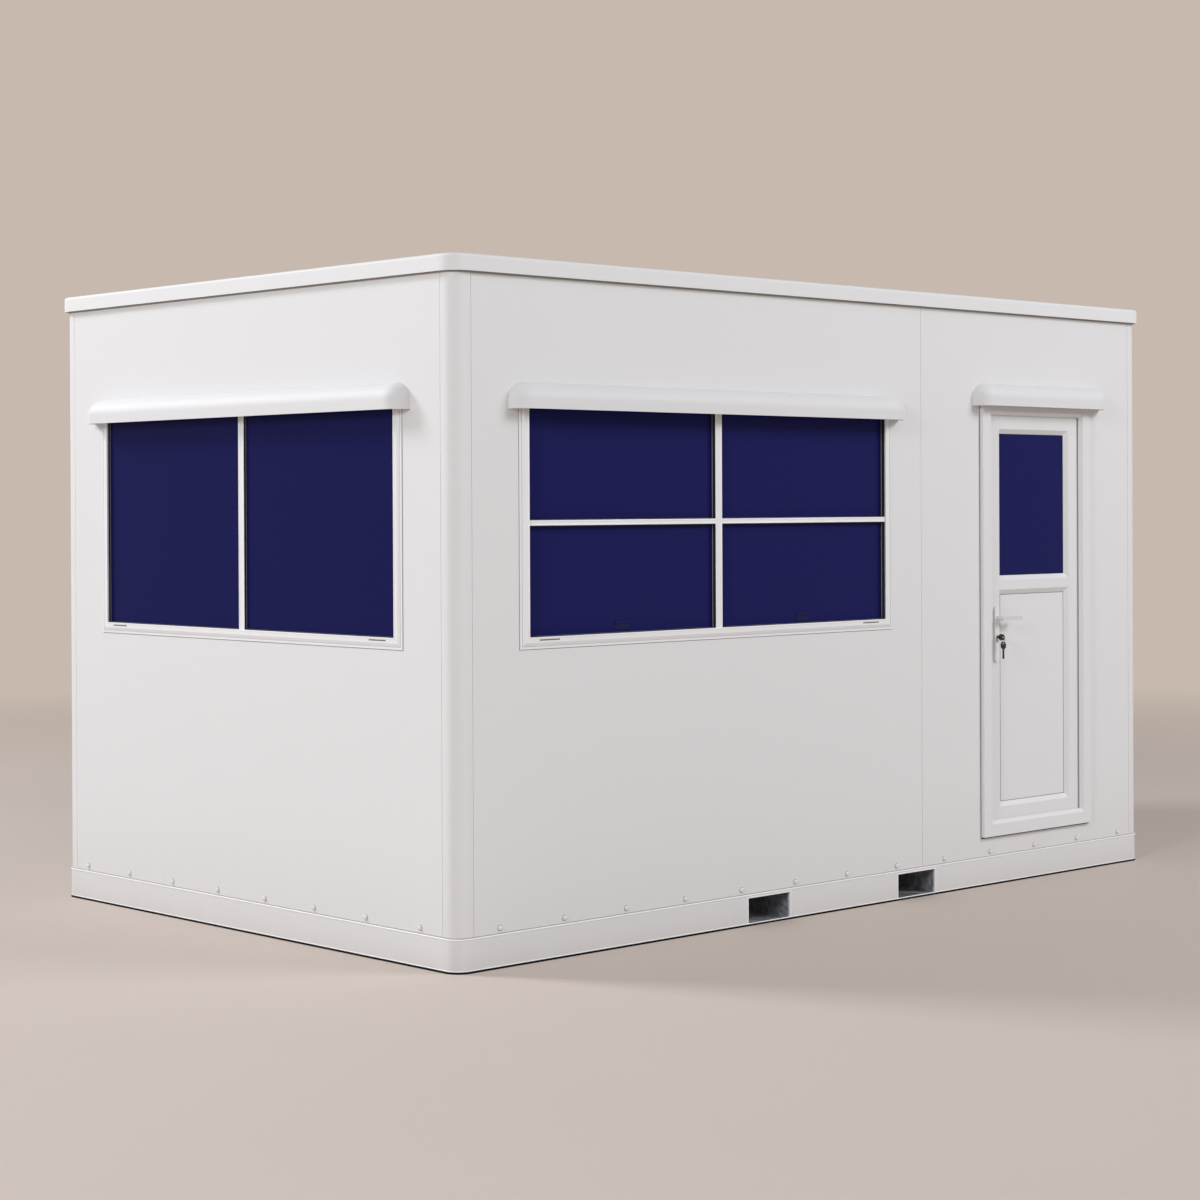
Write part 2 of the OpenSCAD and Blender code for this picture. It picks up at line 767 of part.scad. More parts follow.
module hinge_leaf_side() {
  face = leaf_back - hinge_y;                     // the leaf's face, from the pin's axis
  color(pvc) for (z = hinge_places) translate([hinge_x, hinge_y - half_d, z]) difference() {
    union() {
      knuckle(-knuckle_l / 2, knuckle_l / 2);
      block([-hinge_w, 0], [face, face + hinge_t], [-knuckle_l / 2, knuckle_l / 2]);
      block([-hinge_w, -barrel_r - 2], [face, face + hinge_t], [-hinge_l / 2, hinge_l / 2]);
    }
    translate([0, 0, -hinge_l / 2]) cylinder(r = pin_r + pin_gap, h = hinge_l);
  }
}

// ---------------------------------------------------------------- the pieces

long_skirt(-1);  // skirt_front
long_skirt(1);  // skirt_back
skirt_ends();
fork_pocket(-1);  // fork_pocket_left
fork_pocket(1);  // fork_pocket_right
cross_members();
floor_panel();
floor_covering();
corner_post(-1, -1);  // corner_post_front_left
corner_post(1, -1);  // corner_post_front_right
corner_post(-1, 1);  // corner_post_back_left
corner_post(1, 1);  // corner_post_back_right
front_wall_window_panel();
front_wall_latch_side();
front_wall_hinge_side();
front_wall_over_door();
front_wall_under_door();
back_wall_window_panel();
back_wall_plain_panel();
end_wall(LEFT);  // left_wall
end_wall(RIGHT);  // right_wall
panel_seals();
window_frame(FRONT, long_win_x, long_win_w, 2);  // window_frame_front
window_frame(BACK, -long_win_x, long_win_w, 2);  // window_frame_back
window_frame(LEFT, 0, end_win_w, 1);  // window_frame_left
window_frame(RIGHT, 0, end_win_w, 1);  // window_frame_right
window_glass(FRONT, long_win_x, long_win_w, 2);  // window_glass_front
window_glass(BACK, -long_win_x, long_win_w, 2);  // window_glass_back
window_glass(LEFT, 0, end_win_w, 1);  // window_glass_left
window_glass(RIGHT, 0, end_win_w, 1);  // window_glass_right
window_hood(FRONT, long_win_x, long_win_w);  // hood_front_window
window_hood(BACK, -long_win_x, long_win_w);  // hood_back_window
window_hood(LEFT, 0, end_win_w);  // hood_left_window
window_hood(RIGHT, 0, end_win_w);  // hood_right_window
hood_door();
roof_panel();
roof_cap();
door_frame();
hinge_frame_side();
door_leaf();
door_glass();
door_lower_panel();
hinge_leaf_side();
handle_plates();
lock_cylinder();
keys();
lever_handle();
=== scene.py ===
# %% [markdown]
# # A prefabricated guard cabin
# The cabin arrives from the CAD frame as exact solids: panels, posts, frames, hoods, a door.
# Blender's part is what a camera sees on them: the gel coat of the panels, the film on the glass,
# the black gaskets, the screw caps along the base, and the light of a plain studio. Drawing the
# cabin again here would make a second set of sizes, so the solids stay and are only dressed and
# trimmed.

# %% Load the fixed frame
import math

import bmesh
import bpy
from mathutils import Matrix, Vector


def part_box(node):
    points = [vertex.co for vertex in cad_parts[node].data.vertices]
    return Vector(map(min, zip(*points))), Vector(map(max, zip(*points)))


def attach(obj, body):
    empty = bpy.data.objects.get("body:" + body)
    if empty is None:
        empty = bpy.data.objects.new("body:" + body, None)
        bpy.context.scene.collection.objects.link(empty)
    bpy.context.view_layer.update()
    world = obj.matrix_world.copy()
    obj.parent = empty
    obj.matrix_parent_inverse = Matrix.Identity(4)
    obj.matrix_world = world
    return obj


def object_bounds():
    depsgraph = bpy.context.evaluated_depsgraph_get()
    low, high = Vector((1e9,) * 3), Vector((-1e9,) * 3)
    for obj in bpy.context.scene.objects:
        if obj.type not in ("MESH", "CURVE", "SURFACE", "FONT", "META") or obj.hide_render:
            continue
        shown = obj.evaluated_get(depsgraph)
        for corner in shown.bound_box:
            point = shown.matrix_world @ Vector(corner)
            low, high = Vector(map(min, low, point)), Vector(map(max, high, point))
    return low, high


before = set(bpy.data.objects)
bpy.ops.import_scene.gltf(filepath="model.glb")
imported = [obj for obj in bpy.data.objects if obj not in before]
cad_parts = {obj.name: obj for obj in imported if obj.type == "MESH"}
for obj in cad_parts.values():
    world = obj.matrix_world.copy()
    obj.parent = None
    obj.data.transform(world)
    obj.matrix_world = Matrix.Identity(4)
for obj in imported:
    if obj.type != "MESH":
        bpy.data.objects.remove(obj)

cad_low, cad_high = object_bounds()
print("CAD box", [round(v, 3) for v in cad_low], [round(v, 3) for v in cad_high])

# %% [markdown]
# ## The camera
# A building is drawn with a long lens from far off, so its walls converge only gently. The camera
# stands at eye height and looks nearly level at the near corner. Tilting it down would lean the
# posts, so the frame is shifted down instead, as on a view camera.

# %% The camera
SENSOR = 36.0
LENS = 75.629
EYE = Vector((-7.533, -7.852, 1.601))
YAW, PITCH, ROLL = math.radians(43.260), math.radians(-0.278), math.radians(-0.263)
FRAME_SHIFT = -0.0680
NEAREST, FARTHEST = 0.1, 200.0


def look(yaw, pitch, roll):
    """The camera's turn: yaw from +Y towards +X, pitch up, roll about the line of sight."""
    level = math.cos(pitch)
    ahead = Vector((level * math.sin(yaw), level * math.cos(yaw), math.sin(pitch)))
    right = Vector((math.cos(yaw), -math.sin(yaw), 0.0))
    above = right.cross(ahead)
    side = math.cos(roll) * right + math.sin(roll) * above
    return Matrix((side, side.cross(ahead), -ahead)).transposed()


camera = bpy.data.objects.new("portrait_camera", bpy.data.cameras.new("portrait_camera"))
bpy.context.scene.collection.objects.link(camera)
camera.matrix_world = Matrix.Translation(EYE) @ look(YAW, PITCH, ROLL).to_4x4()
camera.data.sensor_width = SENSOR
camera.data.lens = LENS
camera.data.shift_y = FRAME_SHIFT
camera.data.clip_start, camera.data.clip_end = NEAREST, FARTHEST
bpy.context.scene.camera = camera
print("camera at", tuple(EYE), "lens", LENS)

# %% [markdown]
# ## Writing materials as sums
# A material is a small calculation: a noise becomes a mask, the mask becomes a roughness. Dozens of
# Math nodes wired by hand hide that. Here a socket is wrapped in a small class, so that `1 - mask`
# or `mask * 0.2` adds the Math node itself and the material reads like the sum that it is.

# %% A socket that can be added and multiplied
class Wire:
    """One output socket of a node graph. Arithmetic on it adds Math nodes."""

    def __init__(self, graph, socket):
        self.graph = graph
        self.socket = socket

    def maths(self, operation, first, second):
        return self.graph.node("ShaderNodeMath", {"operation": operation}, {0: first, 1: second})

    def __add__(self, other):
        return self.maths("ADD", self, other)

    __radd__ = __add__

    def __rsub__(self, other):
        return self.maths("SUBTRACT", other, self)

    def __mul__(self, other):
        return self.maths("MULTIPLY", self, other)

    __rmul__ = __mul__

    def or_else(self, other):
        """The larger of two masks."""
        return self.maths("MAXIMUM", self, other)

    def clamped(self):
        return self.graph.node("ShaderNodeClamp", {}, {"Value": self})


print("a wire knows +, - and *, and adds a Math node for each")

# %% [markdown]
# ## One way to add a node
# Materials and the world both hold a tree of nodes. Every node that isn't plain arithmetic comes
# from one method, which sets the node's settings first, because they decide which sockets it has,
# and then its values and wires.

# %% A tree of nodes
class Graph:
    """A tree of nodes under construction."""

    def __init__(self, tree):
        self.tree = tree

    def node(self, kind, settings, sockets, output=0):
        """Adds a node: its settings first, then the values or wires of its sockets."""
        made = self.tree.nodes.new(kind)
        for key, value in settings.items():
            setattr(made, key, value)
        for key, value in sockets.items():
            self.put(made.inputs[key], value)
        return Wire(self, made.outputs[output])

    def put(self, socket, value):
        """Links a wire to a socket, or writes a number or a colour on it."""
        if isinstance(value, Wire):
            self.tree.links.new(value.socket, socket)
        elif socket.type == "RGBA" and len(value) == 3:
            socket.default_value = (*value, 1.0)
        else:
            socket.default_value = value

    def seen_by(self, ray):
        """1 for one kind of ray, 0 for the others."""
        return self.node("ShaderNodeLightPath", {}, {}, f"Is {ray} Ray")


print("a graph adds nodes of any type")

# %% [markdown]
# ## A finish
# A finish is a graph with its Principled shader ready and the few patterns that this cabin needs:
# noise, a step from one value to another, a blend of two colours and a bump. The patterns are
# placed by the cabin's own coordinates in metres, so a grain has the same size on a post and on a
# panel. Image textures would need their own unwrapping on every solid.

# %% A material with its shader ready
MIX_FIRST, MIX_SECOND, MIX_COLOUR = 6, 7, 2     # the colour sockets of a Mix node


class Finish(Graph):
    """A material under construction, with its Principled shader ready."""

    def __init__(self, name, **sockets):
        self.material = bpy.data.materials.new(name)
        self.material.use_nodes = True
        super().__init__(self.material.node_tree)
        self.shader = self.tree.nodes["Principled BSDF"]
        self.set(**sockets)

    def set(self, **sockets):
        for key, value in sockets.items():
            self.put(self.shader.inputs[key.replace("_", " ")], value)

    def place(self, axis=None):
        """Where a point of the cabin is, in metres, or one of its three numbers."""
        spot = self.node("ShaderNodeTexCoord", {}, {}, "Object")
        if axis is None:
            return spot
        return self.node("ShaderNodeSeparateXYZ", {}, {"Vector": spot}, axis)

    def noise(self, scale, detail=3.0, roughness=0.55, spot=None):
        sockets = {
            "Vector": spot or self.place(), "Scale": scale, "Detail": detail, "Roughness": roughness,
        }
        return self.node("ShaderNodeTexNoise", {}, sockets)

    def stretched(self, factors):
        """The cabin's coordinates, multiplied along each axis."""
        settings = {"operation": "MULTIPLY"}
        return self.node("ShaderNodeVectorMath", settings, {0: self.place(), 1: factors})

    def step(self, value, low, high):
        """0 below low, 1 above high, a straight slope between."""
        sockets = {"Value": value, "From Min": low, "From Max": high}
        return self.node("ShaderNodeMapRange", {"clamp": True}, sockets)

    def blend(self, share, first, second):
        """One colour turning into another."""
        sockets = {0: share, MIX_FIRST: first, MIX_SECOND: second}
        return self.node("ShaderNodeMix", {"data_type": "RGBA"}, sockets, MIX_COLOUR)

    def bump(self, height, distance, strength=1.0, under=None):
        """Relief of the given depth in metres, on top of the relief under it."""
        sockets = {"Height": height, "Distance": distance, "Strength": strength}
        if under is not None:
            sockets["Normal"] = under
        return self.node("ShaderNodeBump", {}, sockets)

    def made(self):
        """Says what was built and hands the material over."""
        print(self.material.name, len(self.tree.nodes), "nodes")
        return self.material


print("a finish starts from its Principled shader")

# %% [markdown]
# ## The panels' gel coat
# The cabin's panels are glass-fibre sandwiches with a white gel coat: a slightly soft gloss over a
# skin that is never quite flat. Three scales make it real: a slow waviness a hand's breadth to a
# metre across that bends reflections, a fine orange peel, and a breath of dust that thickens
# towards the ground. The painted base rails and the hoods are other mixtures of the same three.

# %% Gel coat and paint
WHITE = (0.80, 0.797, 0.797)
DUST = (0.62, 0.59, 0.55)


def white_skin(name, white, roughness, dust_height, dust_share, peel):
    """A gel coat or paint, dusty up to a height, with the peel's bumps to a metre."""
    finish = Finish(name, Specular_IOR_Level=0.35, IOR=1.46)
    mottle = finish.noise(scale=2.3, detail=4.0)
    grain = finish.noise(scale=38.0)
    low = 1 - finish.step(finish.place("Z"), 0.0, dust_height)
    runs = finish.stretched((4.0, 4.0, 0.35))
    streaks = finish.noise(scale=3.0, detail=5.0, roughness=0.6, spot=runs)
    dusty = low * low * dust_share * (streaks + 0.35) + 0.05 * mottle * grain
    wave = finish.noise(scale=1.1, detail=2.0, roughness=0.45)
    wave = finish.bump(wave, distance=0.010, strength=0.35)
    orange_peel = finish.noise(scale=peel, detail=2.0, roughness=0.5)
    finish.set(
        Base_Color=finish.blend(dusty.clamped(), white, DUST),
        Roughness=roughness + 0.10 * mottle + 0.18 * dusty + 0.03 * grain,
        Normal=finish.bump(orange_peel, distance=0.00012, strength=0.5, under=wave),
    )
    return finish.made()


gel_coat = white_skin("gel_coat", WHITE, 0.40, dust_height=0.55, dust_share=0.35, peel=210.0)
base_paint = white_skin(
    "base_paint", (0.76, 0.755, 0.75), 0.36, dust_height=0.13, dust_share=0.55, peel=330.0
)
# A white lighter than the base paint: a painted highlight on the rolled edges and the pocket rims.
edge_highlight_white = white_skin(
    "edge_highlight_white", (0.93, 0.93, 0.935), 0.30, dust_height=0.02, dust_share=0.0, peel=330.0
)
hood_coat = white_skin(
    "hood_coat", (0.765, 0.763, 0.765), 0.50, dust_height=0.02, dust_share=0.0, peel=260.0
)

# %% [markdown]
# ## The roof's coat
# The roof cap has the same gel coat, but its flat top lies in the sun and rain and has chalked to a
# matt, greyer white, while the rolled rim has only lost its gloss. Two materials would need the
# cap's faces sorted by hand. One finish that looks at the height of a point keeps the cap in one
# piece.

# %% Roof coat
ROOF_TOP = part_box("roof_cap")[1].z
CHALK_STARTS, CHALK_FULL = 0.004, 0.0005        # below the top of the roof
CHALK = (0.60, 0.59, 0.58), (0.67, 0.66, 0.65)


def tint(colour, share):
    """The same colour, lighter or darker by a share."""
    return tuple(share * v for v in colour)


def roof_skin():
    """The roof's rim is satin; its flat top has chalked to a matt, greyer white."""
    finish = Finish("roof_coat", Specular_IOR_Level=0.22, IOR=1.46)
    mottle = finish.noise(scale=2.3, detail=4.0)
    chalk = finish.step(finish.place("Z"), ROOF_TOP - CHALK_STARTS, ROOF_TOP - CHALK_FULL)
    orange_peel = finish.noise(scale=260.0, detail=2.0, roughness=0.5)
    finish.set(
        Base_Color=finish.blend(chalk, tint(WHITE, 1.01), finish.blend(mottle, *CHALK)),
        Roughness=0.55 + 0.10 * mottle + 0.28 * chalk,
        Normal=finish.bump(orange_peel, distance=0.00012, strength=0.5),
    )
    return finish.made()


roof_coat = roof_skin()

# %% [markdown]
# ## Window and door profiles
# The frames are extruded white plastic. Extrusion leaves the faces smooth, with a grain finer than
# a hair and a higher gloss than the panels. The grain is a very small noise that drives both the
# gloss and the bump, so that they agree. The beads round the glass are the brightest, a painted
# highlight along their rounded edges, and the door leaf the dullest.

# %% Extruded profiles
PROFILE_SHADE = (0.72, 0.71, 0.69)


def profile_skin(name, white, roughness):
    finish = Finish(name, Specular_IOR_Level=0.45, IOR=1.53)
    tone = finish.noise(scale=5.0)
    grain = finish.noise(scale=420.0, roughness=0.6)
    finish.set(
        Base_Color=finish.blend(0.10 * tone, white, PROFILE_SHADE),
        Roughness=roughness + 0.08 * tone + 0.05 * grain,
        Normal=finish.bump(grain, distance=0.00004, strength=0.4),
    )
    return finish.made()


door_white = profile_skin("door_white", (0.81, 0.81, 0.815), roughness=0.26)
window_white = profile_skin("window_white", (0.88, 0.88, 0.885), roughness=0.26)
# The beads' brighter white is a painted highlight.
bead_highlight_white = profile_skin("bead_highlight_white", (0.97, 0.97, 0.98), roughness=0.20)

# %% [markdown]
# ## Powder-coated fittings
# The lever, the backplates and the hinges are powder coated and the screw caps are moulded, with a
# coarser peel than the profiles. Four materials could be drawn from nothing, but the same recipe
# serves all, and only their whites differ, the lever's being the darkest.

# %% Powder coat
POWDER_SHADE = (0.66, 0.66, 0.66)


def powder_skin(name, white):
    finish = Finish(name, Specular_IOR_Level=0.5)
    tone = finish.noise(scale=40.0, detail=2.0)
    peel = finish.noise(scale=900.0, detail=2.0)
    finish.set(
        Base_Color=finish.blend(0.12 * tone, white, POWDER_SHADE),
        Roughness=0.34 + 0.10 * tone,
        Normal=finish.bump(peel, distance=0.00006, strength=0.6),
    )
    return finish.made()


lever_white = powder_skin("lever_white", (0.70, 0.70, 0.70))
cap_white = powder_skin("cap_white", (0.78, 0.78, 0.78))
plate_white = powder_skin("plate_white", (0.84, 0.84, 0.84))
powder_white = powder_skin("powder_white", (0.80, 0.80, 0.80))

# %% [markdown]
# ## Sun-control glass
# The panes carry a deep blue film and read as flat colour from outside. The film is slightly
# uneven, so its colour drifts a little and its reflection is soft. It could be clear glass over a
# dark room, but nothing of the room shows through the film, so it is a dark coloured skin under a
# weak gloss.

# %% Filmed glass
NAVY = (0.0140, 0.0152, 0.098)
# The end windows' film is a darker copy of the same film: painted shade.
END_GLASS_SHADE = 0.82                                # the end windows look a little darker


def film_skin(name, shade):
    finish = Finish(name, Specular_IOR_Level=0.035, IOR=1.45)
    drift = finish.noise(scale=1.7)
    ripple = finish.noise(scale=2.4, detail=1.0)
    finish.set(
        Base_Color=finish.blend(0.5 * drift, shade, tint(shade, 1.12)),
        Roughness=0.16 + 0.10 * drift,
        Normal=finish.bump(ripple, distance=0.004, strength=0.25),
    )
    return finish.made()


filmed_glass = film_skin("filmed_glass", NAVY)
# The same film, darkened as painted shade for the end windows.
end_glass_painted_shade = film_skin("end_glass_painted_shade", tint(NAVY, END_GLASS_SHADE))

# %% [markdown]
# ## Rubber and sealant
# Gaskets, joints and washers are rubber or sealant of many greys. Old rubber blooms: patches of its
# surface turn paler and duller. A medium noise gives the patches and a fine one the matt skin, and
# each seal has only its own grey. Several of the greys are painted light: the joint lines, washers,
# drain slots and fold lines paint the shade of their gaps and creases, the ground strip and the
# sealing strips paint shadows, and the spacers' blue grey paints a reflection. The strip at the
# ground is the blackest and hardly shines.

# %% Rubber in its shades
BLOOM = 0.012


def rubber_skin(name, shade, gloss=0.3):
    finish = Finish(name, Specular_IOR_Level=gloss)
    bloom = finish.noise(scale=60.0)
    pale = tuple(1.05 * v + BLOOM for v in shade)
    skin = finish.noise(scale=700.0, detail=2.0)
    finish.set(
        Base_Color=finish.blend(bloom, shade, pale),
        Roughness=0.62 + 0.2 * bloom,
        Normal=finish.bump(skin, distance=0.00005, strength=0.5),
    )
    return finish.made()


gasket_black = rubber_skin("gasket_black", (0.012, 0.012, 0.013))
# A dark grey that paints the shade inside the drain slots.
slot_painted_shade = rubber_skin("slot_painted_shade", (0.14, 0.14, 0.145))
# A dark grey that paints the shade in the joints round the window flanges and the door panel.
joint_shade_grey = rubber_skin("joint_shade_grey", (0.22, 0.20, 0.19))
# Sealant grey that also paints the shade over the base and the shadow under the roof's rim.
seal_and_shadow_grey = rubber_skin("seal_and_shadow_grey", (0.42, 0.38, 0.355))
# Rubber black that also paints the contact shadow under the base.
strip_and_shadow_black = rubber_skin("strip_and_shadow_black", (0.008, 0.006, 0.005), gloss=0.05)
washer_and_shade_grey = rubber_skin("washer_and_shade_grey", (0.20, 0.195, 0.19))
# A grey that paints the shade in the fold between a frame's flange and its sloping face.
fold_shade_grey = rubber_skin("fold_shade_grey", (0.52, 0.52, 0.56))
# The double glazing's spacer, lightened to a blue grey that paints the reveal's reflection in the
# glass.
spacer_reflection_grey = rubber_skin("spacer_reflection_grey", (0.26, 0.27, 0.37))

# %% [markdown]
# ## The seams between panels
# The panel seams are filled with white sealant that has aged to grey. The joint round the door frame
# is black, painted shadow in the gap beside the frame. All of these seams are one solid, so the
# finish asks where along the cabin a point lies and turns black between the two sides of the door
# frame.

# %% Seam sealant
DOOR_JOINT_REACH = 0.012
JOINT_FADE = 0.001
AGED_SEALANT = (0.62, 0.615, 0.61), (0.68, 0.675, 0.67)
# Black in the joint round the door frame: painted shadow in the gap.
DOOR_JOINT_SHADOW = (0.015, 0.015, 0.016)


def seam_skin():
    """White sealant in the panel seams, black in the joint round the door frame."""
    finish = Finish("sealant", Specular_IOR_Level=0.3)
    low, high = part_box("door_frame")
    start, end = low.x - DOOR_JOINT_REACH, high.x + DOOR_JOINT_REACH
    along = finish.place("X")
    door_shadow_share = finish.step(along, start, start + JOINT_FADE)
    door_shadow_share = door_shadow_share * finish.step(along, end, end - JOINT_FADE)
    bloom = finish.noise(scale=60.0)
    aged = finish.blend(bloom, *AGED_SEALANT)
    finish.set(
        Base_Color=finish.blend(door_shadow_share, aged, DOOR_JOINT_SHADOW),
        Roughness=0.62 + 0.2 * bloom,
    )
    return finish.made()


sealant = seam_skin()

# %% [markdown]
# ## The finger catches' plastic
# The catches on the sliding panes are moulded in a dark blue close to the film's, and fingers have
# scuffed them. A fine noise varies both the shade and the gloss. A bump is left out, because a
# moulded catch this small is smooth.

# %% Catch plastic
CATCH_BLUE = (0.0125, 0.0130, 0.068)


def catch_skin():
    finish = Finish("catch_blue", Specular_IOR_Level=0.1)
    scuff = finish.noise(scale=80.0)
    finish.set(
        Base_Color=finish.blend(scuff, CATCH_BLUE, tint(CATCH_BLUE, 1.15)),
        Roughness=0.5 + 0.2 * scuff,
    )
    return finish.made()


catch_blue = catch_skin()

# %% [markdown]
# ## Galvanised steel
# The fork pockets and the cross members are dipped in zinc, which freezes in spangles: patches of
# crystal, each with its own tone and gloss. A Voronoi texture gives such patches, which noise
# can't. White rust dulls some of them, and where it lies the surface is less of a metal.

# %% Galvanised steel
DARK_ZINC, PALE_ZINC = (0.36, 0.38, 0.41), (0.56, 0.58, 0.61)
WHITE_RUST = (0.50, 0.50, 0.49)
SPANGLES = 65.0                                 # to a metre
RUST_STARTS, RUST_FULL = 0.52, 0.75


def galvanised_skin():
    finish = Finish("galvanised")
    sockets = {"Vector": finish.place(), "Scale": SPANGLES}
    patch = finish.node("ShaderNodeTexVoronoi", {}, sockets, "Color")
    tone = finish.node("ShaderNodeSeparateColor", {}, {"Color": patch}, "Red")
    clouds = finish.noise(scale=9.0, detail=4.0, roughness=0.6)
    rust = finish.step(clouds, RUST_STARTS, RUST_FULL)
    zinc = finish.blend(tone, DARK_ZINC, PALE_ZINC)
    finish.set(
        Base_Color=finish.blend(0.45 * rust, zinc, WHITE_RUST),
        Roughness=0.34 + 0.20 * tone + 0.20 * rust,
        Metallic=0.75 - 0.45 * rust,
        Normal=finish.bump(tone, distance=0.00012, strength=0.6),
    )
    return finish.made()


galvanised = galvanised_skin()

# %% [markdown]
# ## The lock and the keys
# The lock cylinder is satin nickel with a fine brushed grain, made by stretching a noise along one
# axis. The keys are blackened steel, rubbed paler where they are handled. Both are metals whose
# roughness follows the same pattern as their colour, as wear does.

# %% Satin nickel and blackened steel
def nickel_skin():
    finish = Finish("satin_nickel", Metallic=1.0)
    grain = finish.stretched((300.0, 300.0, 2200.0))
    brush = finish.noise(scale=1.0, detail=4.0, roughness=0.6, spot=grain)
    finish.set(
        Base_Color=finish.blend(brush, (0.42, 0.41, 0.40), (0.62, 0.61, 0.60)),
        Roughness=0.25 + 0.18 * brush,
        Normal=finish.bump(brush, distance=0.00003, strength=0.5),
    )
    return finish.made()


def blackened_skin():
    finish = Finish("blackened_steel", Metallic=0.6)
    worn = finish.noise(scale=160.0, roughness=0.6)
    finish.set(
        Base_Color=finish.blend(worn, (0.020, 0.020, 0.021), (0.075, 0.074, 0.072)),
        Roughness=0.32 + 0.2 * worn,
        Normal=finish.bump(worn, distance=0.00004, strength=0.5),
    )
    return finish.made()


satin_nickel = nickel_skin()
blackened_steel = blackened_skin()

# %% [markdown]
# ## The cabin's own floor
# Inside, the floor is sheet vinyl with fine chips, which show through the open door. It lies over a
# board that only shows from below. The chips are Voronoi cells cut off at a radius, and the board's
# rings are a noise stretched along the cabin.

# %% Sheet vinyl and board
CHIPS = 240.0                                   # to a metre
CHIP_CORE, CHIP_EDGE = 0.25, 0.45


def vinyl_skin():
    finish = Finish("sheet_vinyl", Specular_IOR_Level=0.4)
    sockets = {"Vector": finish.place(), "Scale": CHIPS}
    chips = finish.node("ShaderNodeTexVoronoi", {}, sockets, "Distance")
    worn = finish.noise(scale=2.0, detail=4.0)
    flecks = finish.step(chips, CHIP_CORE, CHIP_EDGE)
    share = 0.6 * flecks + 0.25 * worn
    finish.set(
        Base_Color=finish.blend(share, (0.30, 0.295, 0.28), (0.42, 0.41, 0.39)),
        Roughness=0.45 + 0.18 * worn,
        Normal=finish.bump(chips, distance=0.0001, strength=0.4),
    )
    return finish.made()


def board_skin():
    finish = Finish("floor_board", Specular_IOR_Level=0.3)
    along = finish.stretched((2.0, 30.0, 30.0))
    rings = finish.noise(scale=1.0, detail=5.0, roughness=0.65, spot=along)
    finish.set(
        Base_Color=finish.blend(rings, (0.26, 0.19, 0.12), (0.48, 0.38, 0.26)),
        Roughness=0.6 + 0.2 * rings,
        Normal=finish.bump(rings, distance=0.0004, strength=0.5),
    )
    return finish.made()


sheet_vinyl = vinyl_skin()
floor_board = board_skin()

# %% [markdown]
# ## Dressing the CAD solids
# Every solid keeps its shape and takes a finish. The cabin has many solids of a few kinds, so the
# tables name only how a solid's name starts: the first start that fits gives its finish and the
# width of its softened edges. What no start fits is a panel or a post, and takes the gel coat.

# %% A finish for each kind of solid
FINISHES = {
    "skirt": base_paint, "fork_pocket": galvanised, "cross_members": galvanised,
    "roof_cap": roof_coat, "floor_panel": floor_board, "floor_covering": sheet_vinyl,
    "panel_seals": sealant, "window_frame": window_white,
    "window_glass_left": end_glass_painted_shade, "window_glass_right": end_glass_painted_shade,
    "window_glass": filmed_glass, "door_glass": filmed_glass,
    "door_frame": door_white, "door_leaf": door_white, "door_lower_panel": door_white,
    "hinge": powder_white, "handle_plates": plate_white, "lever_handle": lever_white,
    "lock_cylinder": satin_nickel, "keys": blackened_steel, "hood": hood_coat,
}


def first_match(table, name, otherwise):
    return next((value for start, value in table.items() if name.startswith(start)), otherwise)


for name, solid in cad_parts.items():
    for holder in solid.material_slots:
        holder.material = first_match(FINISHES, name, gel_coat)
print(len(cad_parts), "solids dressed")

# %% [markdown]
# ## Softened edges
# Real sheet and extrusions have no knife edges, so the ones a camera comes near get a bevel of a
# millimetre or two. The solids come with split corners, and a bevel would follow every triangle. So
# their faces are first welded and the flat triangles merged, and the bevel then finds the true
# edges.

# %% Softened edges
EDGES = {
    "skirt": 0.0008, "window_frame": 0.0012, "door_frame": 0.002, "door_leaf": 0.0015,
    "hood": 0.001, "handle_plates": 0.0055, "lever_handle": 0.002, "hinge": 0.0008,
    "lock_cylinder": 0.0005, "keys": 0.0006, "fork_pocket": 0.0012,
}
SAME_POINT = 0.00001
SAME_PLANE = math.radians(0.2)
SHARP = math.radians(35)
EDGE_STEPS = 2


def soften(solid, width):
    """Welds, cleans and bevels a CAD solid with modifiers, then evens its shading."""
    weld = solid.modifiers.new("weld", "WELD")
    weld.merge_threshold = SAME_POINT
    flat = solid.modifiers.new("merge_flat", "DECIMATE")
    flat.decimate_type = "DISSOLVE"
    flat.angle_limit = SAME_PLANE
    edge = solid.modifiers.new("edge", "BEVEL")
    edge.width = width
    edge.segments = EDGE_STEPS
    edge.limit_method = "ANGLE"
    edge.angle_limit = SHARP
    even = solid.modifiers.new("even", "WEIGHTED_NORMAL")
    even.keep_sharp = True


softened = 0
for name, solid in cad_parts.items():
    width = first_match(EDGES, name, 0.0)
    if width:
        soften(solid, width)
        softened += 1
print(softened, "solids softened")

# %% [markdown]
# ## Working on a wall
# All four walls carry the same kinds of detail, so each wall gets its own frame: x along the wall,
# y the depth in from its face, z up. Details are drawn once in that frame and turned onto the wall
# they belong to. Drawing each wall in the cabin's own axes would need four versions of every
# detail.

# %% Wall frames
FRONT, RIGHT, BACK, LEFT = range(4)
WALLS = {"front": FRONT, "right": RIGHT, "back": BACK, "left": LEFT}
SKIRT_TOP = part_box("skirt_front")[1].z
WALL_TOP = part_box("front_wall_latch_side")[1].z
HALF_LENGTH, HALF_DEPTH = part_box("right_wall")[1].x, -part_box("front_wall_latch_side")[0].y


def on_wall(side):
    """Turns a wall's own frame into the cabin's."""
    reach = HALF_DEPTH if side % 2 == 0 else HALF_LENGTH
    turn = Matrix.Rotation(math.radians(90 * side), 4, "Z")
    return turn @ Matrix.Translation((0, -reach, 0))


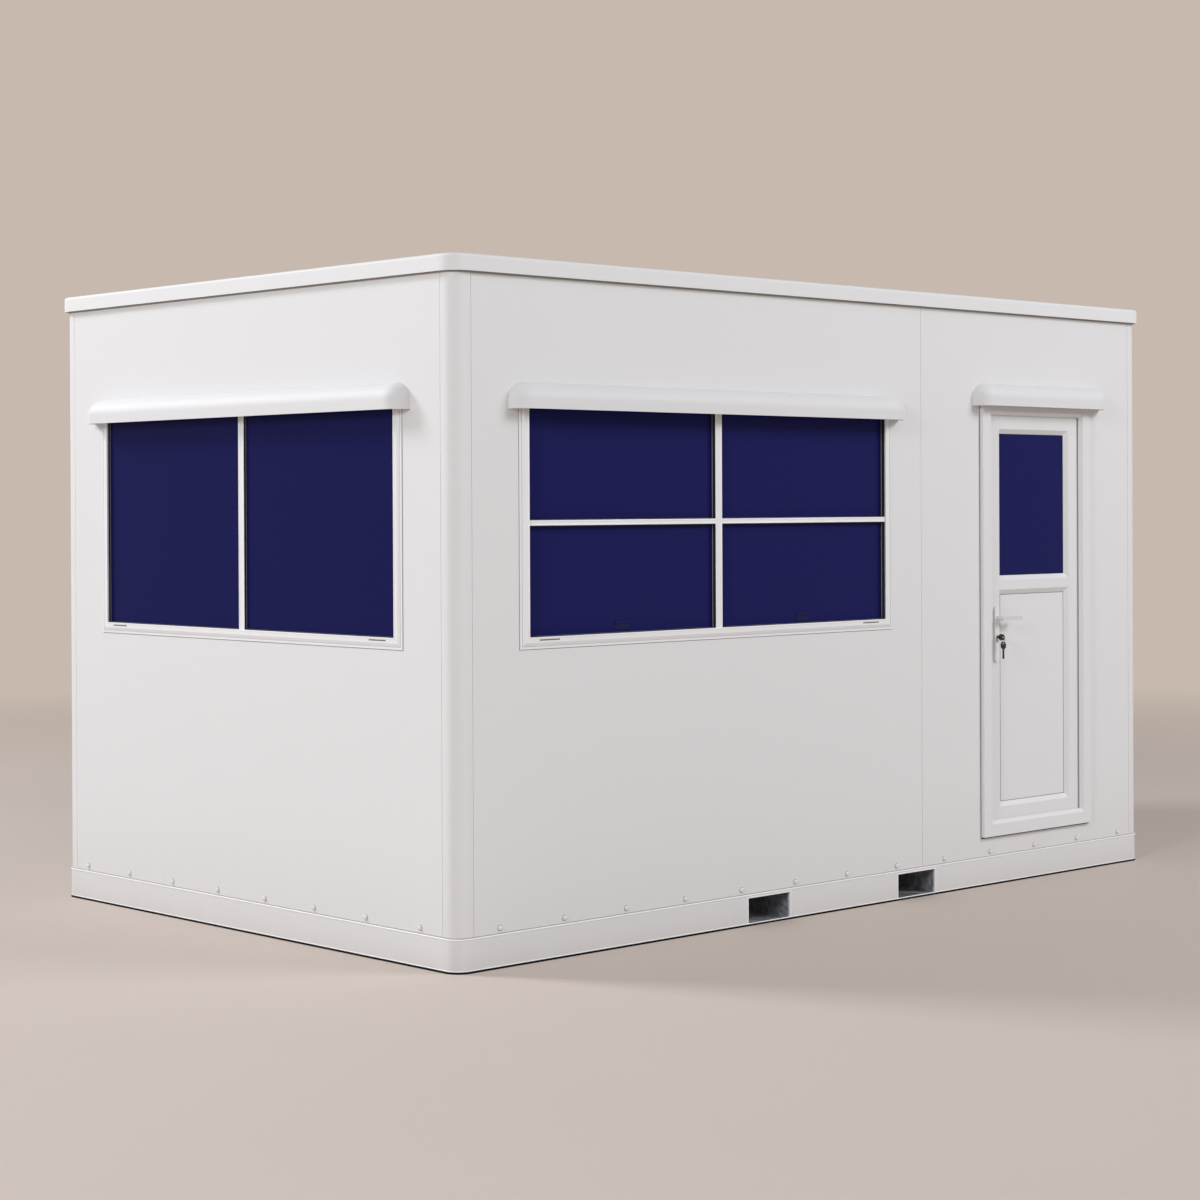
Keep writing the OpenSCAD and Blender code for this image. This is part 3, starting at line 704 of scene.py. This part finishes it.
def box_on_wall(side, node):
    """A node's box in its wall's frame."""
    back = on_wall(side).inverted()
    ends = [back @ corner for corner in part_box(node)]
    return Vector(map(min, *ends)), Vector(map(max, *ends))


print("walls reach", round(HALF_LENGTH, 3), "and", round(HALF_DEPTH, 3), "from the middle")

# %% [markdown]
# ## From mesh to piece
# Each detail is drawn in a bmesh, Blender's mesh under construction. One helper then turns it into
# an object of the cabin: it turns the faces outwards, moves the mesh into place, gives it a finish
# and says which body it rides on.

# %% Turning a mesh into a piece
def finish_piece(name, bm, placing, finish, body="cabin", smooth=None):
    """Turns a bmesh into a piece of the cabin that rides on one of its bodies."""
    bmesh.ops.recalc_face_normals(bm, faces=bm.faces)
    mesh = bpy.data.meshes.new(name)
    bm.to_mesh(mesh)
    bm.free()
    mesh.transform(placing)
    piece = bpy.data.objects.new(name, mesh)
    bpy.context.scene.collection.objects.link(piece)
    mesh.materials.append(finish)
    if smooth is not None:
        mesh.polygons.foreach_set("use_smooth", [True] * len(mesh.polygons))
        mesh.set_sharp_from_angle(angle=smooth)
    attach(piece, body)
    print(name, len(mesh.polygons), "faces")


# %% [markdown]
# ## Screw caps
# The wall panels are screwed to the base, and each screw wears a white domed cap on a thin grey
# washer, whose dark grey also paints the shade round the cap's foot. They run along all four walls
# just above the base. A sphere cut in half would bring edges that never show, so a dome is drawn as
# rings that shrink towards its tip. A row is that dome at an even pitch, joined into one mesh for
# each wall.

# %% One dome
CAP_STEPS, CAP_SIDES = 5, 20


def band(bm, a, b):
    """Joins two closed rows of points with a band of faces."""
    for i in range(len(a)):
        j = (i + 1) % len(a)
        bm.faces.new((a[i], a[j], b[j], b[i]))


def add_dome(bm, centre, reach, height):
    """A dome on the wall, flattened or raised to the given height."""
    turns = [2 * math.pi * i / CAP_SIDES for i in range(CAP_SIDES)]
    rings = []
    for k in range(CAP_STEPS):
        angle = math.pi / 2 * k / CAP_STEPS
        radius, out = reach * math.cos(angle), height * math.sin(angle)
        spots = [Vector((radius * math.cos(t), -out, radius * math.sin(t))) for t in turns]
        rings.append([bm.verts.new(centre + spot) for spot in spots])
    tip = bm.verts.new(centre + Vector((0, -height, 0)))
    for a, b in zip(rings, rings[1:]):
        band(bm, a, b)
    for i in range(CAP_SIDES):
        bm.faces.new((rings[-1][i], rings[-1][(i + 1) % CAP_SIDES], tip))
    bm.faces.new(rings[0])


print("a dome has", CAP_STEPS * CAP_SIDES + 1, "faces")

# %% [markdown]
# ## The rows of caps
# The caps sit a little above the base, a little in from the corners, and about 30 cm apart. An
# array modifier would need a second count for the washers. A loop places both, and stretches the
# pitch on each wall so that a whole number of steps fits between the first and the last, as a
# fitter marks them out.

# %% Screw caps along the base
CAP_RADIUS, CAP_HEIGHT = 0.0096, 0.0085
WASHER_RADIUS, WASHER_HEIGHT = 0.0112, 0.0012
CAP_LINE = SKIRT_TOP + 0.0205
CAP_MARGIN = 0.180
CAP_PITCH = 0.304
CAP_SHIFT = {FRONT: 0.015, LEFT: -0.0175}
SMOOTH_DOME = math.radians(50)

for word, side in WALLS.items():
    run = 2 * ((HALF_LENGTH if side % 2 == 0 else HALF_DEPTH) - CAP_MARGIN)
    steps = round(run / CAP_PITCH)
    start = CAP_SHIFT.get(side, 0.0) - run / 2
    caps, washers = bmesh.new(), bmesh.new()
    for k in range(steps + 1):
        centre = Vector((start + run * k / steps, 0.0, CAP_LINE))
        add_dome(caps, centre, CAP_RADIUS, CAP_HEIGHT)
        add_dome(washers, centre, WASHER_RADIUS, WASHER_HEIGHT)
    wall = on_wall(side)
    finish_piece(f"screw_caps_{word}", caps, wall, cap_white, smooth=SMOOTH_DOME)
    # The washers' dark grey paints the shade round each cap's foot.
    finish_piece(f"cap_washers_{word}", washers, wall, washer_and_shade_grey, smooth=SMOOTH_DOME)

# %% [markdown]
# ## Sweeping a trim round the cabin
# Thin lines run right round the walls. Each is a small section carried along the same rounded
# outline. A curve with a bevel could do it too, but each trim would need a profile object of its
# own. Here every point of the section gets its own copy of the outline, and bands join the copies.

# %% The outline and the sweep
CORNER_RADIUS = 0.055
CORNER_STEPS = 10
CORNERS = ((1, 1), (-1, 1), (-1, -1), (1, -1))
SMOOTH_TRIM = math.radians(40)


def round_outline(out):
    """The cabin's outline on the ground, grown by out, as points with rounded corners."""
    radius = CORNER_RADIUS + out
    across, deep = HALF_LENGTH - CORNER_RADIUS, HALF_DEPTH - CORNER_RADIUS
    points = []
    for quarter, (sx, sy) in enumerate(CORNERS):
        centre = Vector((sx * across, sy * deep))
        for k in range(CORNER_STEPS + 1):
            angle = math.radians(90 * (quarter + k / CORNER_STEPS))
            points.append(centre + radius * Vector((math.cos(angle), math.sin(angle))))
    return points


def trim(name, section, finish):
    """Sweeps a section, as points (out from the walls, height), round the cabin."""
    bm = bmesh.new()
    loops = [[bm.verts.new((p.x, p.y, z)) for p in round_outline(out)] for out, z in section]
    for a, b in zip(loops, loops[1:] + loops[:1]):
        band(bm, a, b)
    finish_piece(name, bm, Matrix.Identity(4), finish, smooth=SMOOTH_TRIM)


print("the outline has", len(round_outline(0.0)), "points")

# %% [markdown]
# ## Trims that run round the cabin
# A black rubber strip closes the gap between the base and the ground, and its black also paints the
# contact shadow there. Above it come the rolled lower and upper edges of the base rails, in a white
# lighter than the base paint as a painted highlight, then the bead of sealant over them and the
# sealing strip under the roof's rim, whose dark grey paints the shade of the joint and the shadow
# under the rim. Flat strips have square sections and the rolled edges and beads have half-round
# ones.
# Their backs are buried a little, so that no gap opens behind them.

# %% Trims round the cabin
SKIRT_OUT = -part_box("skirt_front")[0].y - HALF_DEPTH
GROUND_STRIP, STRIP_PROUD = 0.0066, 0.0020
LOWER_EDGE, UPPER_EDGE, BEAD_RADIUS = 0.0022, 0.0032, 0.0015
EDGE_SUNK = 0.3                                 # of the rolled edge's radius
RIM_DROP, RIM_PROUD = 0.0055, 0.003
BURIED = 0.002
BEAD_STEPS = 8


def half_round(out, z, radius):
    """A half-round bead's section, its flat side towards the wall."""
    turns = [math.radians(-90 + 180 * k / BEAD_STEPS) for k in range(BEAD_STEPS + 1)]
    return [(out + radius * math.cos(t), z + radius * math.sin(t)) for t in turns]


def rolled(radius, middle):
    """The section of a rolled edge on the base rails."""
    return half_round(SKIRT_OUT - EDGE_SUNK * radius, middle, radius)


def flat_strip(out, proud, bottom, top):
    """The section of a flat strip on a face that stands out from the wall by the given distance."""
    back, front = out - BURIED, out + proud
    return [(back, bottom), (front, bottom), (front, top), (back, top)]


# The strip's black is partly painted contact shadow; the bead's and rim strip's grey is painted
# shade.
strip_shadow_section = flat_strip(SKIRT_OUT, STRIP_PROUD, 0.0, GROUND_STRIP)
trim("ground_strip", strip_shadow_section, strip_and_shadow_black)
# The rolled edges' lighter white is a painted highlight.
trim("lower_edge", rolled(LOWER_EDGE, GROUND_STRIP + LOWER_EDGE), edge_highlight_white)
trim("upper_edge", rolled(UPPER_EDGE, SKIRT_TOP - UPPER_EDGE), edge_highlight_white)
trim("base_bead", half_round(0.0, SKIRT_TOP + BEAD_RADIUS, BEAD_RADIUS), seal_and_shadow_grey)
trim("rim_strip", flat_strip(0.0, RIM_PROUD, WALL_TOP - RIM_DROP, WALL_TOP), seal_and_shadow_grey)

# %% [markdown]
# ## Rims of the fork pockets
# The galvanised pockets sit a little behind the face of the base rails. A painted rim laps over the
# cut edge of the rail at each mouth and shows as a fine white line round the dark opening; its
# white, lighter than the base paint, is a painted highlight along the edge. It is a mitred ring: the
# corners of the opening, moved in or out by each point of a section, so that one helper makes every
# frame on the cabin.

# %% Painted rims of the fork pockets
RIM_OUTER, RIM_INNER, RIM_DEPTH, RIM_LIFT = -0.003, 0.0025, 0.0075, 0.001
HAIR = 0.0006                                   # how far a fine line stands proud


def add_ring(bm, low, high, section):
    """A mitred frame round the opening from low to high (x, z), its section as (inset, depth)."""
    loops = []
    for inset, depth in section:
        x0, z0, x1, z1 = low[0] + inset, low[1] + inset, high[0] - inset, high[1] - inset
        corners = ((x0, z0), (x1, z0), (x1, z1), (x0, z1))
        loops.append([bm.verts.new((x, depth, z)) for x, z in corners])
    for a, b in zip(loops, loops[1:] + loops[:1]):
        band(bm, a, b)


def strip(start, end, front, back):
    """A flat strip's section: from inset start to end, from depth front to back."""
    return [(start, front), (end, front), (end, back), (start, back)]


for word, side in (("front", FRONT), ("back", BACK)):
    rims = bmesh.new()
    section = strip(RIM_OUTER, RIM_INNER, -SKIRT_OUT - HAIR, RIM_DEPTH - SKIRT_OUT)
    for node in ("fork_pocket_left", "fork_pocket_right"):
        low, high = box_on_wall(side, node)
        add_ring(rims, (low.x, low.z + RIM_LIFT), (high.x, high.z), section)
    finish_piece(f"pocket_rims_{word}", rims, on_wall(side), edge_highlight_white)

# %% [markdown]
# ## The seal under the door frame
# A black lip seal closes the joint under the door frame, and its black paints the shadow under the
# frame's bottom edge. A plain strip would catch the light like the frame itself. The lip hangs
# forward and thins towards its edge, so it shows as a dark line with a soft lower side. Its section
# is drawn once and drawn out along the wall as a prism.

# %% The seal under the door frame
SEAL_HEIGHT, SEAL_PROUD = 0.006, 0.004
LIP_TURNS = 0.6                                 # where the lip starts to thin, and how far


def add_prism(bm, x, width, section):
    """A bar of the given width about x, with a section of (depth, z) points."""
    ends = [
        [bm.verts.new((x + way * width / 2, depth, z)) for depth, z in section] for way in (-1, 1)
    ]
    band(bm, *ends)
    bm.faces.new(ends[0][::-1])
    bm.faces.new(ends[1])


# The seal's black is painted shadow under the door frame.
lip = (
    (BURIED, 0.0), (-SEAL_PROUD, 0.0), (-SEAL_PROUD, -LIP_TURNS * SEAL_HEIGHT),
    (-LIP_TURNS * SEAL_PROUD, -SEAL_HEIGHT), (BURIED, -SEAL_HEIGHT),
)
low, high = box_on_wall(FRONT, "door_frame")
lip_section = [(depth, low.z + z) for depth, z in lip]
sill = bmesh.new()
add_prism(sill, (low.x + high.x) / 2, high.x - low.x, lip_section)
finish_piece("sill_seal_shadow", sill, on_wall(FRONT), gasket_black)

# %% [markdown]
# ## Finding the panes
# Beads and gaskets follow the edges of the panes. Their places could be typed in, but then a
# changed window would leave them behind. So they are read from the glass solids: the heights and
# widths where their corners lie come in pairs, and each pair is a pane whose edges run into the
# frame.

# %% Reading the panes from the glass
GLASS_BITE, DOOR_BITE = 0.009, 0.012            # how far the glass runs into its frame
TENTH_OF_MM = 4                                 # digits kept of a metre


def spans(solid, to_wall, axis):
    """The ranges that a node's solids cover along one axis of their wall."""
    seen = sorted({round((to_wall @ v.co)[axis], TENTH_OF_MM) for v in solid.data.vertices})
    return list(zip(seen[0::2], seen[1::2]))


def panes_of(node, side, bite):
    """The sight opening of each pane, as low and high corners (x, z), and the glass's depth."""
    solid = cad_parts[node]
    to_wall = on_wall(side).inverted()
    depth = min((to_wall @ v.co).y for v in solid.data.vertices)
    panes = [
        ((x[0] + bite, z[0] + bite), (x[1] - bite, z[1] - bite))
        for x in spans(solid, to_wall, 0)
        for z in spans(solid, to_wall, 2)
    ]
    return panes, depth


def ring_piece(name, openings, section, side, finish, body="cabin", smooth=None):
    """One mesh of rings with the same section, one round each opening."""
    rings = bmesh.new()
    for low, high in openings:
        add_ring(rings, low, high, section)
    finish_piece(name, rings, on_wall(side), finish, body, smooth)


for word, side in WALLS.items():
    print(word, "window has", len(panes_of(f"window_glass_{word}", side, GLASS_BITE)[0]), "panes")

# %% [markdown]
# ## Beads, gaskets and spacers
# A rounded white bead runs along every edge that faces a pane, and catches the light as a fine
# bright line; its white is brighter than the frame's, a painted highlight. Behind it the recess is
# lined with black rubber, and half way in shows the grey edge of the double glazing, lightened to a
# blue grey that paints the reveal's reflection in the glass. A dark line of sealant closes the joint
# between each frame's flange and the wall, its grey painted shade in the crevice, and a paler one
# follows the fold where the flange meets the sloping face, painted shade in the crease. All are
# rings, so a table of their sections is enough.

# %% Beads, gaskets and spacers round every pane
BEAD_WIDTH, BEAD_RISE = 0.0058, 0.0018
BAR_STEP = 0.006                                # the bars lie this far behind the frame
GASKET_FRONT, GASKET_WIDTH = -0.0010, 0.0022
SPACER_SHARE, SPACER_WIDTH = (0.62, 0.80), 0.0027
FLANGE_JOINT = 0.0016
FLANGE_WIDTH, FLANGE_THICK, STEP_LINE = 0.011, 0.003, 0.0016
SMOOTH_BEAD = math.radians(50)
ROUND_STEPS = 6


def rounded(start, end, base, rise):
    """A rounded bead's section: its foot at depth base, its crown nearer by rise."""
    turns = [math.pi * k / ROUND_STEPS for k in range(ROUND_STEPS + 1)]
    middle, half = (start + end) / 2, (end - start) / 2
    crown = [(middle - half * math.cos(t), base - rise * math.sin(t)) for t in turns]
    return [(start, base + BURIED), *crown, (end, base + BURIED)]


flange_joint = strip(-FLANGE_JOINT, FLANGE_JOINT, -HAIR, BURIED)
flange_fold = strip(
    FLANGE_WIDTH - STEP_LINE, FLANGE_WIDTH, -FLANGE_THICK - HAIR, BURIED - FLANGE_THICK
)
for word, side in WALLS.items():
    panes, depth = panes_of(f"window_glass_{word}", side, GLASS_BITE)
    low, high = box_on_wall(side, f"window_frame_{word}")
    lows, highs = zip(*panes)
    sight = [(min(lows), max(highs))]
    flange = [((low.x, low.z), (high.x, high.z))]
    lining = strip(0, GASKET_WIDTH, GASKET_FRONT, depth)
    spacer = strip(0, SPACER_WIDTH, *(share * depth for share in SPACER_SHARE))
    bar_bead = rounded(-BEAD_WIDTH, 0, low.y + BAR_STEP, BEAD_RISE)
    frame_bead = rounded(-BEAD_WIDTH, 0, low.y, BEAD_RISE)
    # The beads' white is a painted highlight, the spacers' grey a painted reflection, the joint and
    # fold greys painted shade.
    for kind, openings, section, finish, slot, smooth in (
        ("gaskets", panes, lining, gasket_black, "seal", None),
        ("spacers", panes, spacer, spacer_reflection_grey, "lock_steel", None),
        ("bar_beads", panes, bar_bead, bead_highlight_white, "white_pvc", SMOOTH_BEAD),
        ("frame_bead", sight, frame_bead, bead_highlight_white, "white_pvc", SMOOTH_BEAD),
        ("flange_joint", flange, flange_joint, joint_shade_grey, "seal", None),
        ("flange_fold", flange, flange_fold, fold_shade_grey, "seal", None),
    ):
        ring_piece(f"{kind}_{word}", openings, section, side, finish, smooth=smooth)

# %% [markdown]
# ## The door's own lines
# The pane in the door leaf sits behind a black gasket, and the flat panel below it in a dark grey
# joint that paints the shade of the gap round the panel.
# Both are rings again, but they ride on the door, so that they swing with it. If they rode on the
# cabin they would hang in the air when the door opens.

# %% The gasket and the panel joint of the door
DOOR_GASKET_RISE, DOOR_GASKET_WIDTH = 0.0012, 0.0014
PANEL_JOINT_WIDTH = 0.0022

panes, depth = panes_of("door_glass", FRONT, DOOR_BITE)
gasket = strip(0, DOOR_GASKET_WIDTH, depth - DOOR_GASKET_RISE, depth)
ring_piece("gaskets_door", panes, gasket, FRONT, gasket_black, "door")
# The joint's dark grey is painted shade in the gap round the panel.
panes, depth = panes_of("door_lower_panel", FRONT, DOOR_BITE)
joint = strip(0, PANEL_JOINT_WIDTH, depth - HAIR, depth)
ring_piece("panel_joint", panes, joint, FRONT, joint_shade_grey, "door")

# %% [markdown]
# ## The shapes of a drain slot and a finger catch
# Rain that gets into a plastic frame leaves by short slots in its bottom rail, two to a window.
# Cutting them into the solids would change the CAD shape, so each is a thin dark stadium on the
# face, painted shade that stands for the dark inside of the slot. The sliding panes of the long
# windows are moved by small moulded finger catches, which thicken to a lip at the top.

# %% One slot and one catch
SLOT_LENGTH, SLOT_HEIGHT = 0.096, 0.0042
SLOT_END_STEPS = 6
CATCH_SIZE = (0.070, 0.028, 0.003)


def add_slot(bm, x, z, face):
    """A thin stadium with rounded ends, proud of the face by a hair."""
    r = SLOT_HEIGHT / 2
    outline = []
    for end in (1, -1):
        for k in range(SLOT_END_STEPS + 1):
            angle = math.radians(-90 + 180 * k / SLOT_END_STEPS) + (0 if end == 1 else math.pi)
            across = end * (SLOT_LENGTH / 2 - r) + r * math.cos(angle)
            outline.append((x + across, z + r * math.sin(angle)))
    front = [bm.verts.new((a, face - HAIR, b)) for a, b in outline]
    back = [bm.verts.new((a, face, b)) for a, b in outline]
    bm.faces.new(front)
    bm.faces.new(back[::-1])
    band(bm, front, back)


def add_catch(bm, x, z, face):
    """A finger pull: a plate that thickens to a lip at its top."""
    width, height, reach = CATCH_SIZE
    plate, waist, lip_base = -0.35 * reach, 0.6 * height, 0.75 * height
    pull = (
        (0, 0), (plate, 0), (plate, waist), (-reach, lip_base), (-reach, height), (0, height),
    )
    add_prism(bm, x, width, [(face + depth, z + up) for depth, up in pull])


print("a drain slot is", SLOT_LENGTH, "long, a catch", CATCH_SIZE[0], "wide")

# %% [markdown]
# ## Drain slots and finger catches on their windows
# The slots sit near both ends of every frame's bottom rail. The catches stand on the glass at the
# middle of the lowest panes, on the two long walls only, because the end windows don't slide. They
# are placed from the frame's box and the panes, not by numbers of their own.

# %% Drain slots and catches
SLOT_INSET = 0.135
SLOT_RAISE = 0.0315
CATCH_RAISE = 0.012

for word, side in WALLS.items():
    low, high = box_on_wall(side, f"window_frame_{word}")
    slots = bmesh.new()
    for x in (low.x + SLOT_INSET, high.x - SLOT_INSET):
        add_slot(slots, x, low.z + SLOT_RAISE, low.y)
    # The slots' dark grey is painted shade.
    finish_piece(f"drain_slots_{word}", slots, on_wall(side), slot_painted_shade)
    if side in (FRONT, BACK):
        panes, depth = panes_of(f"window_glass_{word}", side, GLASS_BITE)
        lowest = min(low[1] for low, high in panes)
        catches = bmesh.new()
        for low, high in panes:
            if low[1] == lowest:
                add_catch(catches, (low[0] + high[0]) / 2, lowest + CATCH_RAISE, depth)
        name = f"finger_catches_{word}"
        finish_piece(name, catches, on_wall(side), catch_blue)

# %% [markdown]
# ## The studio floor
# The floor is plain and pale, a little clouded. A curved sweep of paper is the usual way to hide
# the horizon, but it would bend behind the cabin in every other view. Here the floor is flat and
# fades into the colour of the background with distance, so no horizon cuts the picture.

# %% Floor and background
BACKDROP = (0.571, 0.485, 0.423)
FLOOR = (0.620, 0.540, 0.476)
FLOOR_HALF = 60.0
FLOOR_SQUARES = 8
FADE_START, FADE_END = 5.0, 12.0


def studio_floor():
    finish = Finish("studio_floor", Specular_IOR_Level=0.15, Roughness=0.75)
    cloud = finish.noise(scale=0.9, detail=5.0, roughness=0.6)
    speck = finish.noise(scale=90.0)
    relief = finish.noise(scale=45.0, detail=4.0)
    finish.set(
        Base_Color=finish.blend(0.35 * cloud + 0.10 * speck, FLOOR, tint(FLOOR, 0.90)),
        Normal=finish.bump(relief, distance=0.0004, strength=0.3),
    )
    length = {"operation": "LENGTH"}
    far = finish.node("ShaderNodeVectorMath", length, {0: finish.place()}, "Value")
    seen = finish.seen_by("Camera").or_else(finish.seen_by("Glossy"))
    share = finish.step(far, FADE_START, FADE_END) * seen
    glow = finish.node("ShaderNodeEmission", {}, {"Color": BACKDROP, "Strength": 1.0})
    shaded = Wire(finish, finish.shader.outputs["BSDF"])
    both = finish.node("ShaderNodeMixShader", {}, {0: share, 1: shaded, 2: glow})
    finish.put(finish.tree.nodes["Material Output"].inputs["Surface"], both)
    return finish.made()


ground = bmesh.new()
bmesh.ops.create_grid(
    ground, x_segments=FLOOR_SQUARES, y_segments=FLOOR_SQUARES, size=FLOOR_HALF
)
ground_mesh = bpy.data.meshes.new("studio_floor")
ground.to_mesh(ground_mesh)
ground.free()
ground_mesh.materials.append(studio_floor())
floor = bpy.data.objects.new("studio_floor", ground_mesh)
floor.location.z = cad_low.z
bpy.context.scene.collection.objects.link(floor)
print("floor half width", FLOOR_HALF)

# %% [markdown]
# ## The world
# The surroundings have two jobs that pull apart: they give the cabin an even light at one level,
# and they are the background that the camera and the gloss see. Light Path tells the rays apart, so
# each job gets its own colour and strength.

# %% World
AMBIENT = 0.36
SKYLIGHT = (1.0, 1.0, 1.03)


def studio_world():
    world = bpy.data.worlds.new("studio")
    bpy.context.scene.world = world
    world.use_nodes = True
    graph = Graph(world.node_tree)
    light = graph.node("ShaderNodeBackground", {}, {"Color": SKYLIGHT, "Strength": AMBIENT})
    view = graph.node("ShaderNodeBackground", {}, {"Color": BACKDROP})
    seen = graph.seen_by("Camera").or_else(graph.seen_by("Transmission"))
    seen = seen.or_else(graph.seen_by("Glossy"))
    mix = graph.node("ShaderNodeMixShader", {}, {0: seen, 1: light, 2: view})
    graph.put(world.node_tree.nodes["World Output"].inputs["Surface"], mix)


studio_world()
bpy.context.scene.view_settings.view_transform = "Standard"
print("the surroundings light at", AMBIENT)

# %% [markdown]
# ## Lamps
# Three soft boxes stand round the cabin. The first, behind its far end, lights the end wall. The
# second keeps the corner posts and the jambs bright, and the wide one in front fills the long wall.
# Large lamps far off give soft shadows, and their power is kept low enough for the whites to keep
# their tone.

# %% Lamps
LAMPLIGHT = (0.985, 1.005, 1.055)
CABIN_END, CABIN_MIDDLE = (-1.5, 0.0, 1.2), (0.2, 0.0, 1.2)


def softbox(name, place, target, size, power):
    lamp = bpy.data.lights.new(name, "AREA")
    lamp.shape = "RECTANGLE"
    lamp.size, lamp.size_y = size
    lamp.energy = power
    lamp.color = LAMPLIGHT
    holder = bpy.data.objects.new(name, lamp)
    bpy.context.scene.collection.objects.link(holder)
    holder.location = place
    aim = Vector(target) - Vector(place)
    holder.rotation_euler = aim.to_track_quat("-Z", "Y").to_euler()
    print(name, "at", place, "power", power)


softbox("key_box", (-6.5, 7.5, 8.0), CABIN_END, size=(3.0, 3.0), power=765.0)
softbox("end_box", (-12.0, -5.0, 5.0), CABIN_END, size=(2.4, 2.4), power=420.0)
softbox("front_box", (6.0, -10.0, 7.8), CABIN_MIDDLE, size=(6.5, 4.0), power=745.0)
